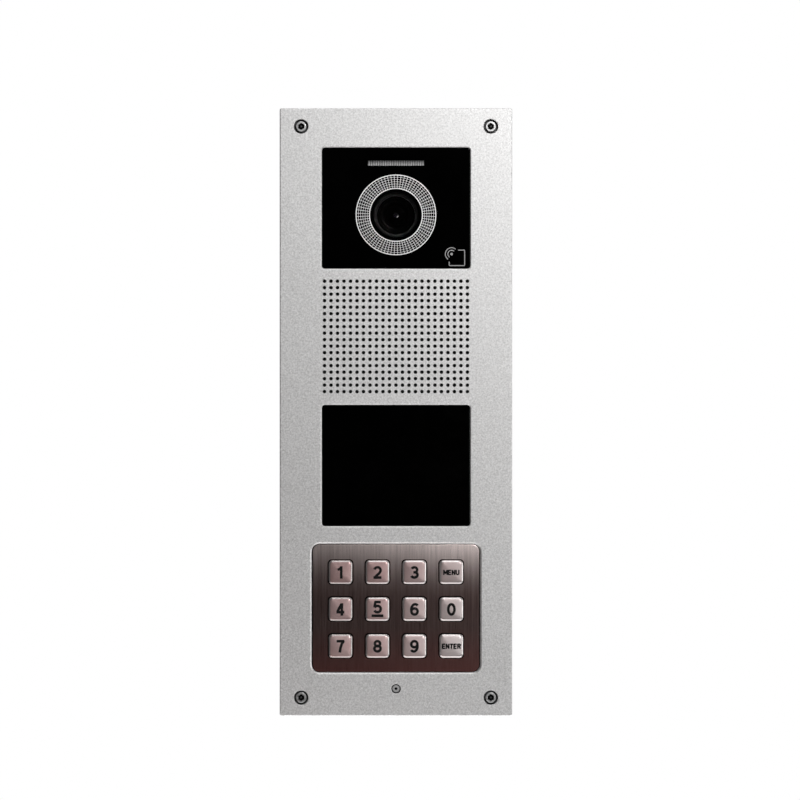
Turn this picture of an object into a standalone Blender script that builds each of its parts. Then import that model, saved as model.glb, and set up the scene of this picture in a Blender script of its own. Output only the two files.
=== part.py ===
"""Wall-mounted video door station: an aluminium panel with camera, speaker grille, display and keypad.

Metres, +Z up. The front faces -Y, and the origin is on the wall, at the centre of the panel's outline.
"""

import math

import bmesh
import bpy

MM = 0.001

# Fits
FIT = 0.3 * MM  # between pieces that seat on or in each other
SLIDE_FIT = 0.4 * MM  # round a piece that moves
OVERCUT = 1 * MM  # how far a cutter runs past the wall it opens
SHARP_ANGLE = math.radians(35)  # edges sharper than this stay crisp

# Front panel and what seals it to the wall
PANEL_WIDTH = 155 * MM
PANEL_HEIGHT = 405 * MM
PANEL_THICKNESS = 5 * MM
PANEL_CORNER = 1.5 * MM
PANEL_CHAMFER = 0.7 * MM
WALL_GASKET_THICKNESS = 1.7 * MM
WALL_GASKET_WIDTH = 6.5 * MM
WALL_GASKET_INSET = 1 * MM
WALL_GASKET_CORNER = 2 * MM

# Captive corner screws
SCREW_INSET_X = 14.3 * MM
SCREW_INSET_Z = 12.2 * MM
SCREW_RECESS = 9.6 * MM
SCREW_HEAD = 7.4 * MM
SCREW_HEAD_HEIGHT = 2.6 * MM
SCREW_SHANK = 4 * MM
SCREW_REACH = 12 * MM  # past the wall plane
SCREW_SOCKET = 4.4 * MM
SCREW_SOCKET_DEPTH = 1.5 * MM
SCREW_SETBACK = 0.1 * MM
RETAINER_DIAMETER = 8 * MM
RETAINER_THICKNESS = 1.2 * MM
SCREW_SIDES = 8

# Camera and display windows
WINDOW_WIDTH = 99 * MM
WINDOW_HEIGHT = 81 * MM
WINDOW_CORNER = 2.2 * MM
WINDOW_MOUTH = 0.6 * MM  # chamfer round the opening
WINDOW_SETBACK = 0.7 * MM
WINDOW_LIP = 2 * MM
WINDOW_LIP_THICKNESS = 1.7 * MM
CAMERA_WINDOW_Z = 135.9 * MM
DISPLAY_WINDOW_Z = -35.7 * MM

# Camera: a lens at the bottom of its barrel's conical hood
CAMERA_Z = 131.4 * MM
LENS_DIAMETER = 13 * MM
LENS_EDGE = 1.9 * MM
LENS_CROWN = 1.8 * MM
DOME_SHARES = (0.3, 0.65, 0.9)  # of the lens's diameter, where its crown has a ring of points
HOOD_MOUTH = 22 * MM
HOOD_DEPTH = 3.6 * MM
BARREL_DIAMETER = 26 * MM
BARREL_FRONT_LENGTH = 7 * MM
BARREL_SEAT_DIAMETER = 19 * MM
SHROUD_WALL = 1.6 * MM
SHROUD_BASE = 36 * MM
SHROUD_BASE_CORNER = 3 * MM
SHROUD_BASE_THICKNESS = 2.4 * MM
CAMERA_BOARD = 38 * MM
CAMERA_SIDES = 12

# Fill light: a ribbed lens in a slot of the camera window, with its board behind
LIGHT_WIDTH = 37.4 * MM
LIGHT_HEIGHT = 3.3 * MM
LIGHT_Z = 165.9 * MM
LIGHT_RIBS = 28
LIGHT_RIB_DEPTH = 0.45 * MM
LIGHT_TAB = 3 * MM
LIGHT_TAB_THICKNESS = 1.5 * MM
LIGHT_BOARD_WIDTH = 46 * MM
LIGHT_BOARD_HEIGHT = 9 * MM

# Tag reader's antenna board, behind the lower right of the camera window
ANTENNA_X = 33 * MM
ANTENNA_Z = 110 * MM
ANTENNA_WIDTH = 30 * MM
ANTENNA_HEIGHT = 28 * MM
ANTENNA_THICKNESS = 1 * MM

# Speaker
GRILLE_COLUMNS = 23
GRILLE_ROWS = 18
GRILLE_PITCH = 4.33 * MM
GRILLE_HOLE = 2.2 * MM
GRILLE_SIDES = 4
GRILLE_Z = 50.4 * MM
MESH_MARGIN = 1.3 * MM  # beyond the outer holes
MESH_THICKNESS = 0.5 * MM
SPEAKER_DIAMETER = 60 * MM
SPEAKER_RIM = 4.5 * MM
SPEAKER_GASKET_THICKNESS = 2 * MM
SPEAKER_FLANGE = 1.5 * MM
SPEAKER_DEPTH = 14 * MM
SPEAKER_BASE_DIAMETER = 34 * MM
SPEAKER_WALL = 1.4 * MM
SPEAKER_BORE = 18 * MM
BASKET_WINDOW = 20 * MM
BASKET_WINDOW_MARGIN = 2 * MM  # from the flange and from the base
CONE_THICKNESS = 0.8 * MM
CONE_THROAT = 14 * MM
CONE_DEPTH = 8 * MM
DUST_CAP_HEIGHT = 2.5 * MM
MAGNET_DIAMETER = 32 * MM
MAGNET_HEIGHT = 7 * MM
MAGNET_CHAMFER = 0.8 * MM
SPEAKER_SIDES = 12

# Display
LCD_WIDTH = 77 * MM
LCD_HEIGHT = 64 * MM
LCD_THICKNESS = 3.2 * MM
LCD_FRAME_WALL = 4.2 * MM
LCD_FRAME_DEPTH = 4.5 * MM

# Keypad
PLATE_WIDTH = 112 * MM
PLATE_HEIGHT = 85.5 * MM
PLATE_CORNER = 5 * MM
PLATE_THICKNESS = 1.5 * MM
PLATE_SETBACK = 1.2 * MM
PLATE_MOUTH = 0.5 * MM
PLATE_Z = -130.7 * MM
KEY_NAMES = (
    ("1", "2", "3", "menu"),
    ("4", "5", "6", "0"),
    ("7", "8", "9", "enter"),
)
KEY_PITCH = 24.6 * MM
KEY_BLOCK_Z = -131.4 * MM
KEY_SIZE = 15.8 * MM
KEY_CORNER = 2.5 * MM
KEY_EDGE = 0.9 * MM
KEY_PROUD = 2.4 * MM  # above the keypad plate
KEY_GAP = 0.7 * MM  # between a key and its hole
KEY_HOLE_CORNER = 1.8 * MM
KEY_LIP = 1.5 * MM
KEY_LIP_THICKNESS = 1.2 * MM
KEY_BLOCK_MARGIN = 0.9 * MM
MEMBRANE_THICKNESS = 1.2 * MM
DOME_HEIGHT = 2.5 * MM
DOME_TOP = 7 * MM
DOME_BASE = 12 * MM
DOME_SIDES = 6
POST_DIAMETER = 5 * MM
POST_MARGIN = 1 * MM
POST_SIDES = 6

# Microphone
MIC_Z = -184.4 * MM
MIC_PORT = 6.3 * MM
MIC_NOSE = 4.9 * MM
MIC_SETBACK = 0.5 * MM
MIC_HOLE = 1.8 * MM
MIC_CUP = 8 * MM
MIC_CUP_DEPTH = 5 * MM
MIC_CAPSULE = 5.4 * MM
MIC_CAPSULE_HEIGHT = 3.8 * MM
MIC_SIDES = 8

# Rear cover: a tray with a flange, screwed to the panel from behind
COVER_INSET_X = 24.5 * MM  # from the panel's edge to the tray's side
COVER_INSET_Z = 11.5 * MM
COVER_DEPTH = 43 * MM  # from the wall plane to the rear face
COVER_WALL = 2.2 * MM
COVER_CORNER = 8 * MM
COVER_EDGE = 2 * MM
COVER_DRAFT = 0.8 * MM
FLANGE_SIDE = 7.5 * MM
FLANGE_END = 3 * MM
FLANGE_CORNER = 12 * MM
FLANGE_THICKNESS = 2.5 * MM
SEAL_THICKNESS = 1 * MM
SEAL_OVERHANG = 0.5 * MM
COVER_SCREW_OFFSET = 4 * MM  # from the tray's side to a screw
COVER_SCREW_PITCH = 180 * MM
COVER_SCREW_HEAD = 5.5 * MM
COVER_SCREW_HEAD_HEIGHT = 2 * MM
COVER_SCREW_SHANK = 3 * MM
COVER_SCREW_BITE = 3 * MM
COVER_SCREW_SIDES = 6

# Main board and what it carries
BOARD_THICKNESS = 1.6 * MM
MAIN_BOARD_WIDTH = 92 * MM
MAIN_BOARD_HEIGHT = 120 * MM
MAIN_BOARD_Z = -35 * MM
MAIN_BOARD_CORNER = 2 * MM
BOSS_DIAMETER = 7 * MM
BOSS_INSET = 6 * MM
BOSS_SIDES = 6
SOCKET_HEIGHT = 16 * MM  # from the board to the rear face
SOCKET_ROW_Z = -74 * MM
SOCKET_WALL = 1.4 * MM
JACK_X = -30 * MM
JACK_WIDTH = 16 * MM
JACK_HEIGHT = 14 * MM
JACK_DEPTH = 12.5 * MM
JACK_LATCH_WIDTH = 6.4 * MM
JACK_LATCH_HEIGHT = 2.6 * MM
TERMINAL_HEIGHT = 11 * MM
TERMINAL_DEPTH = 9 * MM
BUS_TERMINAL_X = 4 * MM
BUS_TERMINAL_WIDTH = 34 * MM
POWER_TERMINAL_X = 34 * MM
POWER_TERMINAL_WIDTH = 14 * MM
SHIELD_X = -12 * MM
SHIELD_Z = -20 * MM
SHIELD_WIDTH = 40 * MM
SHIELD_HEIGHT = 34 * MM
SHIELD_THICKNESS = 3 * MM
SHIELD_EDGE = 0.6 * MM

# Tamper switch: a sprung plunger that stands out of the rear cover
TAMPER_X = 0 * MM
TAMPER_Z = 8 * MM
TAMPER_BODY = 12 * MM
TAMPER_BODY_HEIGHT = 3.7 * MM
TAMPER_BODY_CORNER = 0.6 * MM
TAMPER_STEM = 3 * MM
TAMPER_STEM_ENGAGED = 0.5 * MM
TAMPER_COLLAR = 8 * MM
TAMPER_COLLAR_HEIGHT = 2 * MM
TAMPER_BUTTON = 5 * MM
TAMPER_PROUD = 4 * MM
TAMPER_SIDES = 8
SPRING_WIRE = 0.6 * MM
SPRING_DIAMETER = 5.2 * MM  # at the middle of the wire
SPRING_TURNS = 4
SPRING_TURN_POINTS = 8

# Depth of each layer, from the wall plane at 0, front negative
PANEL_REAR = -(WALL_GASKET_THICKNESS + FIT)
PANEL_FRONT = PANEL_REAR - PANEL_THICKNESS
WINDOW_FRONT = PANEL_FRONT + WINDOW_SETBACK
WINDOW_LEDGE = PANEL_REAR - WINDOW_LIP_THICKNESS - FIT
BEHIND_WINDOW = PANEL_REAR + FIT
PLATE_FRONT = PANEL_FRONT + PLATE_SETBACK
PLATE_REAR = PLATE_FRONT + PLATE_THICKNESS
KEYPAD_FLOOR = PLATE_REAR + FIT
KEY_FRONT = PLATE_FRONT - KEY_PROUD
KEY_LIP_FRONT = PLATE_REAR + FIT
KEY_REAR = KEY_LIP_FRONT + KEY_LIP_THICKNESS
DOME_FRONT = KEY_REAR + FIT
MEMBRANE_FRONT = DOME_FRONT + DOME_HEIGHT
MEMBRANE_REAR = MEMBRANE_FRONT + MEMBRANE_THICKNESS
KEYPAD_BOARD_FRONT = MEMBRANE_REAR + FIT
SEAL_FRONT = PANEL_REAR + FIT
FLANGE_FRONT = SEAL_FRONT + SEAL_THICKNESS + FIT
FLANGE_REAR = FLANGE_FRONT + FLANGE_THICKNESS
COVER_FLOOR = COVER_DEPTH - COVER_WALL
SOCKET_FRONT = COVER_DEPTH - SOCKET_HEIGHT
MAIN_BOARD_REAR = SOCKET_FRONT - FIT
MAIN_BOARD_FRONT = MAIN_BOARD_REAR - BOARD_THICKNESS

# Outlines that several pieces share
SCREW_X = PANEL_WIDTH / 2 - SCREW_INSET_X
SCREW_Z = PANEL_HEIGHT / 2 - SCREW_INSET_Z
KEY_HOLE = KEY_SIZE + 2 * KEY_GAP
KEY_LIP_SIZE = KEY_HOLE + 2 * KEY_LIP
KEY_ROWS = len(KEY_NAMES)
KEY_COLUMNS = len(KEY_NAMES[0])
KEY_BLOCK_WIDTH = (KEY_COLUMNS - 1) * KEY_PITCH + KEY_LIP_SIZE + 2 * KEY_BLOCK_MARGIN
KEY_BLOCK_HEIGHT = (KEY_ROWS - 1) * KEY_PITCH + KEY_LIP_SIZE + 2 * KEY_BLOCK_MARGIN
POST_X = KEY_BLOCK_WIDTH / 2 - POST_DIAMETER / 2
POST_Z = KEY_BLOCK_HEIGHT / 2 + POST_DIAMETER / 2 + POST_MARGIN
MESH_WIDTH = (GRILLE_COLUMNS - 1) * GRILLE_PITCH + GRILLE_HOLE + 2 * MESH_MARGIN
MESH_HEIGHT = (GRILLE_ROWS - 1) * GRILLE_PITCH + GRILLE_HOLE + 2 * MESH_MARGIN
COVER_WIDTH = PANEL_WIDTH - 2 * COVER_INSET_X
COVER_HEIGHT = PANEL_HEIGHT - 2 * COVER_INSET_Z
CAVITY_WIDTH = COVER_WIDTH - 2 * COVER_WALL
CAVITY_HEIGHT = COVER_HEIGHT - 2 * COVER_WALL
COVER_SCREW_X = COVER_WIDTH / 2 + COVER_SCREW_OFFSET

# Colour, roughness and metallic value of each material
FINISHES = {
    "blasted_aluminium": ((0.60, 0.59, 0.58), 0.50, 1.0),
    "brushed_steel": ((0.10, 0.08, 0.075), 0.38, 1.0),
    "key_metal": ((0.48, 0.44, 0.42), 0.32, 1.0),
    "screw_steel": ((0.50, 0.50, 0.50), 0.35, 1.0),
    "black_window": ((0.004, 0.004, 0.004), 0.06, 0.0),
    "light_diffuser": ((0.35, 0.35, 0.35), 0.30, 0.0),
    "lens_glass": ((0.02, 0.02, 0.03), 0.03, 0.0),
    "black_plastic": ((0.02, 0.02, 0.02), 0.50, 0.0),
    "black_rubber": ((0.015, 0.015, 0.015), 0.80, 0.0),
    "grey_rubber": ((0.22, 0.21, 0.21), 0.60, 0.0),
    "grey_foam": ((0.08, 0.08, 0.08), 0.95, 0.0),
    "silicone": ((0.55, 0.55, 0.55), 0.60, 0.0),
    "circuit_board": ((0.02, 0.12, 0.05), 0.45, 0.0),
    "paper_cone": ((0.03, 0.03, 0.03), 0.85, 0.0),
    "ferrite": ((0.05, 0.05, 0.05), 0.60, 0.0),
    "tinned_steel": ((0.62, 0.62, 0.60), 0.30, 1.0),
    "terminal_green": ((0.02, 0.22, 0.07), 0.45, 0.0),
    "lcd_glass": ((0.03, 0.03, 0.035), 0.10, 0.0),
}


def clear_scene():
    for obj in list(bpy.data.objects):
        bpy.data.objects.remove(obj, do_unlink=True)


def finish(name):
    """The named material, made on its first use."""
    material = bpy.data.materials.get(name)
    if material is None:
        colour, roughness, metallic = FINISHES[name]
        material = bpy.data.materials.new(name)
        material.use_nodes = True
        shader = material.node_tree.nodes["Principled BSDF"]
        shader.inputs["Base Color"].default_value = (*colour, 1.0)
        shader.inputs["Roughness"].default_value = roughness
        shader.inputs["Metallic"].default_value = metallic
    return material


def empty(name, parent=None, z=0.0):
    obj = bpy.data.objects.new(name, None)
    obj.empty_display_size = 10 * MM
    bpy.context.collection.objects.link(obj)
    obj.parent = parent
    obj.location.z = z
    return obj


def rounded(width, height, corner=0.0, steps=2):
    """A rectangle about the origin as (x, z) points, its corners rounded in steps."""
    if corner == 0.0:
        return [(sx * width / 2, sz * height / 2) for sx, sz in ((1, 1), (-1, 1), (-1, -1), (1, -1))]
    points = []
    for quarter, (sx, sz) in enumerate(((1, 1), (-1, 1), (-1, -1), (1, -1))):
        for step in range(steps + 1):
            angle = math.pi / 2 * (quarter + step / steps)
            x = sx * (width / 2 - corner) + corner * math.cos(angle)
            z = sz * (height / 2 - corner) + corner * math.sin(angle)
            points.append((x, z))
    return points


def circle(diameter, sides):
    """A regular polygon as (x, z) points, turned so that its points match a rounded square's."""
    angles = [2 * math.pi * (i + 0.5) / sides for i in range(sides)]
    return [(diameter / 2 * math.cos(a), diameter / 2 * math.sin(a)) for a in angles]


def same_area(diameter, sides):
    """The width across corners of a regular polygon with the area of a round hole."""
    return diameter * math.sqrt(2 * math.pi / (sides * math.sin(2 * math.pi / sides)))


def add_loft(mesh, sections, ring=False, x=0.0, z=0.0):
    """Adds a closed solid through sections, each an outline and its depth y.

    Two sections at one depth make a flat step. A ring closes its last section on its first.
    """
    rows = [[mesh.verts.new((x + px, y, z + pz)) for px, pz in outline] for outline, y in sections]
    pairs = list(zip(rows, rows[1:]))
    if ring:
        pairs.append((rows[-1], rows[0]))
    else:
        mesh.faces.new(rows[0])
        mesh.faces.new(rows[-1])
    count = len(rows[0])
    for first, second in pairs:
        for i in range(count):
            j = (i + 1) % count
            mesh.faces.new((first[i], first[j], second[j], second[i]))


def turned(profile, sides):
    """Sections of a turned piece from (diameter, y) points."""
    return [(circle(diameter, sides), y) for diameter, y in profile]


def drill(diameter, front, rear, sides):
    """Sections of a straight round rod or hole."""
    return turned(((diameter, front), (diameter, rear)), sides)


def block(width, height, front, rear, corner=0.0, steps=2):
    """Sections of a plain plate or block."""
    outline = rounded(width, height, corner, steps)
    return [(outline, front), (outline, rear)]


def make(name, mesh, material, parent, x=0.0, z=0.0):
    """Turns the bmesh into a named object under its parent, with its origin at (x, z) of that parent."""
    bmesh.ops.recalc_face_normals(mesh, faces=mesh.faces)
    data = bpy.data.meshes.new(name)
    mesh.to_mesh(data)
    mesh.free()
    data.shade_smooth()
    data.set_sharp_from_angle(angle=SHARP_ANGLE)
    obj = bpy.data.objects.new(name, data)
    bpy.context.collection.objects.link(obj)
    obj.parent = parent
    obj.location = (x, 0.0, z)
    if material:
        data.materials.append(finish(material))
    return obj


def piece(name, sections, material, parent, x=0.0, z=0.0, ring=False):
    """One lofted sub-part."""
    mesh = bmesh.new()
    add_loft(mesh, sections, ring)
    return make(name, mesh, material, parent, x, z)


def shape_with(target, operation, name, mesh):
    """Cuts a helper shape from the target, or joins it on, by a Boolean modifier."""
    helper = make(name, mesh, None, target.parent, target.location.x, target.location.z)
    helper.hide_render = True
    helper.display_type = "WIRE"
    boolean = target.modifiers.new(name, "BOOLEAN")
    boolean.operation = operation
    boolean.solver = "EXACT"
    boolean.object = helper


def corner_signs():
    return ((-1, 1), (1, 1), (-1, -1), (1, -1))


def cover_screw_places():
    return [(side * COVER_SCREW_X, row * COVER_SCREW_PITCH) for row in (1, 0, -1) for side in (-1, 1)]


def key_places():
    """Each key's name with its x, and its z from the middle of the block."""
    for row, names in enumerate(KEY_NAMES):
        for column, name in enumerate(names):
            x = (column - (KEY_COLUMNS - 1) / 2) * KEY_PITCH
            z = ((KEY_ROWS - 1) / 2 - row) * KEY_PITCH
            yield name, x, z


def mouth(width, height, corner, chamfer):
    """The first two sections of a cutter whose opening has a chamfered rim on the panel's front."""
    spread = 4 * chamfer
    return [
        (rounded(width + spread, height + spread, corner + spread / 2), PANEL_FRONT - chamfer),
        (rounded(width, height, corner), PANEL_FRONT + chamfer),
    ]


def window_opening():
    straight = rounded(WINDOW_WIDTH, WINDOW_HEIGHT, WINDOW_CORNER)
    lip = WINDOW_LIP + FIT
    rebate = rounded(WINDOW_WIDTH + 2 * lip, WINDOW_HEIGHT + 2 * lip, WINDOW_CORNER + lip)
    return [
        *mouth(WINDOW_WIDTH, WINDOW_HEIGHT, WINDOW_CORNER, WINDOW_MOUTH),
        (straight, WINDOW_LEDGE),
        (rebate, WINDOW_LEDGE),
        (rebate, PANEL_REAR + OVERCUT),
    ]


def keypad_pocket():
    width = PLATE_WIDTH + 2 * FIT
    height = PLATE_HEIGHT + 2 * FIT
    corner = PLATE_CORNER + FIT
    return [*mouth(width, height, corner, PLATE_MOUTH), (rounded(width, height, corner), KEYPAD_FLOOR)]


def key_way():
    """The opening in the floor of the keypad's pocket."""
    front = KEYPAD_FLOOR - OVERCUT
    return block(KEY_BLOCK_WIDTH, KEY_BLOCK_HEIGHT, front, PANEL_REAR + OVERCUT, KEY_CORNER)


def screw_hole():
    floor = PANEL_FRONT + SCREW_SETBACK + SCREW_HEAD_HEIGHT + FIT
    profile = (
        (SCREW_RECESS, PANEL_FRONT - OVERCUT),
        (SCREW_RECESS, floor),
        (SCREW_SHANK + 2 * FIT, floor),
        (SCREW_SHANK + 2 * FIT, PANEL_REAR + OVERCUT),
    )
    return turned(profile, SCREW_SIDES)


def front_panel(parent):
    face = rounded(PANEL_WIDTH - 2 * PANEL_CHAMFER, PANEL_HEIGHT - 2 * PANEL_CHAMFER, PANEL_CORNER)
    edge = rounded(PANEL_WIDTH, PANEL_HEIGHT, PANEL_CORNER)
    sections = [(face, PANEL_FRONT), (edge, PANEL_FRONT + PANEL_CHAMFER), (edge, PANEL_REAR)]
    panel = piece("front_panel", sections, "blasted_aluminium", parent)

    posts = bmesh.new()
    for sx, sz in corner_signs():
        post = drill(POST_DIAMETER, PANEL_REAR - OVERCUT, KEYPAD_BOARD_FRONT - FIT, POST_SIDES)
        add_loft(posts, post, x=sx * POST_X, z=KEY_BLOCK_Z + sz * POST_Z)
    shape_with(panel, "UNION", "keypad_board_posts", posts)

    openings = bmesh.new()
    add_loft(openings, window_opening(), z=CAMERA_WINDOW_Z)
    add_loft(openings, window_opening(), z=DISPLAY_WINDOW_Z)
    add_loft(openings, keypad_pocket(), z=PLATE_Z)
    for sx, sz in corner_signs():
        add_loft(openings, screw_hole(), x=sx * SCREW_X, z=sz * SCREW_Z)
    port = drill(MIC_PORT, PANEL_FRONT - OVERCUT, PANEL_REAR + OVERCUT, MIC_SIDES)
    add_loft(openings, port, z=MIC_Z)
    bottom = PANEL_REAR - COVER_SCREW_BITE - FIT
    tapped = drill(COVER_SCREW_SHANK + 2 * FIT, bottom, PANEL_REAR + OVERCUT, COVER_SCREW_SIDES)
    for x, z in cover_screw_places():
        add_loft(openings, tapped, x=x, z=z)
    rebate = block(
        MESH_WIDTH + 2 * FIT, MESH_HEIGHT + 2 * FIT, PANEL_REAR - MESH_THICKNESS - FIT, PANEL_REAR + OVERCUT
    )
    add_loft(openings, rebate, z=GRILLE_Z)
    shape_with(panel, "DIFFERENCE", "panel_openings", openings)

    way = bmesh.new()
    add_loft(way, key_way(), z=KEY_BLOCK_Z)
    shape_with(panel, "DIFFERENCE", "key_way", way)

    holes = bmesh.new()
    width = same_area(GRILLE_HOLE, GRILLE_SIDES)
    through = drill(width, PANEL_FRONT - OVERCUT, PANEL_REAR + OVERCUT, GRILLE_SIDES)
    for row in range(GRILLE_ROWS):
        for column in range(GRILLE_COLUMNS):
            x = (column - (GRILLE_COLUMNS - 1) / 2) * GRILLE_PITCH
            z = GRILLE_Z + (row - (GRILLE_ROWS - 1) / 2) * GRILLE_PITCH
            add_loft(holes, through, x=x, z=z)
    shape_with(panel, "DIFFERENCE", "grille_holes", holes)


def wall_gasket(parent):
    outer_width = PANEL_WIDTH - 2 * WALL_GASKET_INSET
    outer_height = PANEL_HEIGHT - 2 * WALL_GASKET_INSET
    outer = rounded(outer_width, outer_height, WALL_GASKET_CORNER)
    inner = rounded(
        outer_width - 2 * WALL_GASKET_WIDTH, outer_height - 2 * WALL_GASKET_WIDTH, WALL_GASKET_CORNER
    )
    front = -WALL_GASKET_THICKNESS
    sections = [(outer, front), (outer, 0.0), (inner, 0.0), (inner, front)]
    piece("wall_gasket", sections, "grey_foam", parent, ring=True)


def panel_screws(parent):
    """Corner screws with a socket in the head, each held behind the panel by a retainer."""
    front = PANEL_FRONT + SCREW_SETBACK
    seat = front + SCREW_HEAD_HEIGHT
    screw = (
        (SCREW_SOCKET, front + SCREW_SOCKET_DEPTH),
        (SCREW_SOCKET, front),
        (SCREW_HEAD, front),
        (SCREW_HEAD, seat),
        (SCREW_SHANK, seat),
        (SCREW_SHANK, SCREW_REACH),
    )
    bore = SCREW_SHANK + 2 * FIT
    ring_front = PANEL_REAR + FIT
    ring_rear = ring_front + RETAINER_THICKNESS
    retainer = (
        (RETAINER_DIAMETER, ring_front),
        (RETAINER_DIAMETER, ring_rear),
        (bore, ring_rear),
        (bore, ring_front),
    )
    for number, (sx, sz) in enumerate(corner_signs(), 1):
        x = sx * SCREW_X
        z = sz * SCREW_Z
        piece(f"panel_screw_{number}", turned(screw, SCREW_SIDES), "screw_steel", parent, x, z)
        name = f"screw_retainer_{number}"
        piece(name, turned(retainer, SCREW_SIDES), "black_plastic", parent, x, z, ring=True)


def window(name, z, parent):
    """A window with a lip behind the panel's ledge."""
    face = rounded(WINDOW_WIDTH - 2 * FIT, WINDOW_HEIGHT - 2 * FIT, WINDOW_CORNER - FIT)
    lip = rounded(
        WINDOW_WIDTH + 2 * WINDOW_LIP, WINDOW_HEIGHT + 2 * WINDOW_LIP, WINDOW_CORNER + WINDOW_LIP
    )
    step = WINDOW_LEDGE + FIT
    sections = [(face, WINDOW_FRONT), (face, step), (lip, step), (lip, PANEL_REAR)]
    return piece(name, sections, "black_window", parent, z=z)


def camera_window(parent):
    glass = window("camera_window", CAMERA_WINDOW_Z, parent)
    slot = bmesh.new()
    cut = block(LIGHT_WIDTH + 2 * FIT, LIGHT_HEIGHT + 2 * FIT, WINDOW_FRONT - OVERCUT, PANEL_REAR + OVERCUT)
    add_loft(slot, cut, z=LIGHT_Z - CAMERA_WINDOW_Z)
    shape_with(glass, "DIFFERENCE", "light_slot", slot)


def fill_light(parent):
    """A lens with upright ribs, held by tabs behind the window, and its board."""
    half = LIGHT_WIDTH / 2
    tab = half + LIGHT_TAB
    tab_rear = BEHIND_WINDOW + LIGHT_TAB_THICKNESS
    pitch = LIGHT_WIDTH / LIGHT_RIBS
    outline = [(-tab, tab_rear), (-tab, BEHIND_WINDOW), (-half, BEHIND_WINDOW)]
    for rib in range(LIGHT_RIBS):
        left = -half + rib * pitch
        outline.append((left, WINDOW_FRONT + LIGHT_RIB_DEPTH))
        outline.append((left + pitch / 2, WINDOW_FRONT))
    outline.append((half, WINDOW_FRONT + LIGHT_RIB_DEPTH))
    outline += [(half, BEHIND_WINDOW), (tab, BEHIND_WINDOW), (tab, tab_rear)]

    mesh = bmesh.new()
    side = mesh.faces.new([mesh.verts.new((x, y, -LIGHT_HEIGHT / 2)) for x, y in outline])
    grown = bmesh.ops.extrude_face_region(mesh, geom=[side])
    moved = [item for item in grown["geom"] if isinstance(item, bmesh.types.BMVert)]
    bmesh.ops.translate(mesh, verts=moved, vec=(0.0, 0.0, LIGHT_HEIGHT))
    make("fill_light_lens", mesh, "light_diffuser", parent, z=LIGHT_Z)

    front = tab_rear + FIT
    board = block(LIGHT_BOARD_WIDTH, LIGHT_BOARD_HEIGHT, front, front + BOARD_THICKNESS)
    piece("fill_light_board", board, "circuit_board", parent, z=LIGHT_Z)


def camera(parent):
    """Lens element in its hooded barrel, the barrel in a holder, and the sensor board behind."""
    bore = BARREL_DIAMETER + 2 * FIT
    holder = bore + 2 * SHROUD_WALL
    shoulder = BEHIND_WINDOW + BARREL_FRONT_LENGTH
    floor = shoulder + FIT
    base_rear = floor + SHROUD_BASE_THICKNESS
    seat = BARREL_SEAT_DIAMETER + 2 * FIT
    base = rounded(SHROUD_BASE, SHROUD_BASE, SHROUD_BASE_CORNER, steps=CAMERA_SIDES // 4 - 1)
    shroud = [
        (circle(holder, CAMERA_SIDES), BEHIND_WINDOW),
        (circle(holder, CAMERA_SIDES), floor),
        (base, floor),
        (base, base_rear),
        (circle(seat, CAMERA_SIDES), base_rear),
        (circle(seat, CAMERA_SIDES), floor),
        (circle(bore, CAMERA_SIDES), floor),
        (circle(bore, CAMERA_SIDES), BEHIND_WINDOW),
    ]
    piece("camera_shroud", shroud, "black_plastic", parent, z=CAMERA_Z, ring=True)

    pocket = LENS_DIAMETER + 2 * FIT
    lens_front = BEHIND_WINDOW + HOOD_DEPTH
    lens_rear = lens_front + LENS_EDGE
    barrel = (
        (pocket, lens_rear + FIT),
        (pocket, lens_front),
        (HOOD_MOUTH, BEHIND_WINDOW),
        (BARREL_DIAMETER, BEHIND_WINDOW),
        (BARREL_DIAMETER, shoulder),
        (BARREL_SEAT_DIAMETER, shoulder),
        (BARREL_SEAT_DIAMETER, base_rear),
    )
    piece("lens_barrel", turned(barrel, CAMERA_SIDES), "black_plastic", parent, z=CAMERA_Z)

    dome = [(LENS_DIAMETER * share, lens_front - LENS_CROWN * (1 - share**2)) for share in DOME_SHARES]
    lens = (*dome, (LENS_DIAMETER, lens_front), (LENS_DIAMETER, lens_rear))
    piece("lens_element", turned(lens, CAMERA_SIDES), "lens_glass", parent, z=CAMERA_Z)

    board_front = base_rear + FIT
    board = block(CAMERA_BOARD, CAMERA_BOARD, board_front, board_front + BOARD_THICKNESS)
    piece("camera_board", board, "circuit_board", parent, z=CAMERA_Z)


def reader_antenna(parent):
    board = block(ANTENNA_WIDTH, ANTENNA_HEIGHT, BEHIND_WINDOW, BEHIND_WINDOW + ANTENNA_THICKNESS)
    piece("reader_antenna", board, "circuit_board", parent, ANTENNA_X, ANTENNA_Z)


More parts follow.
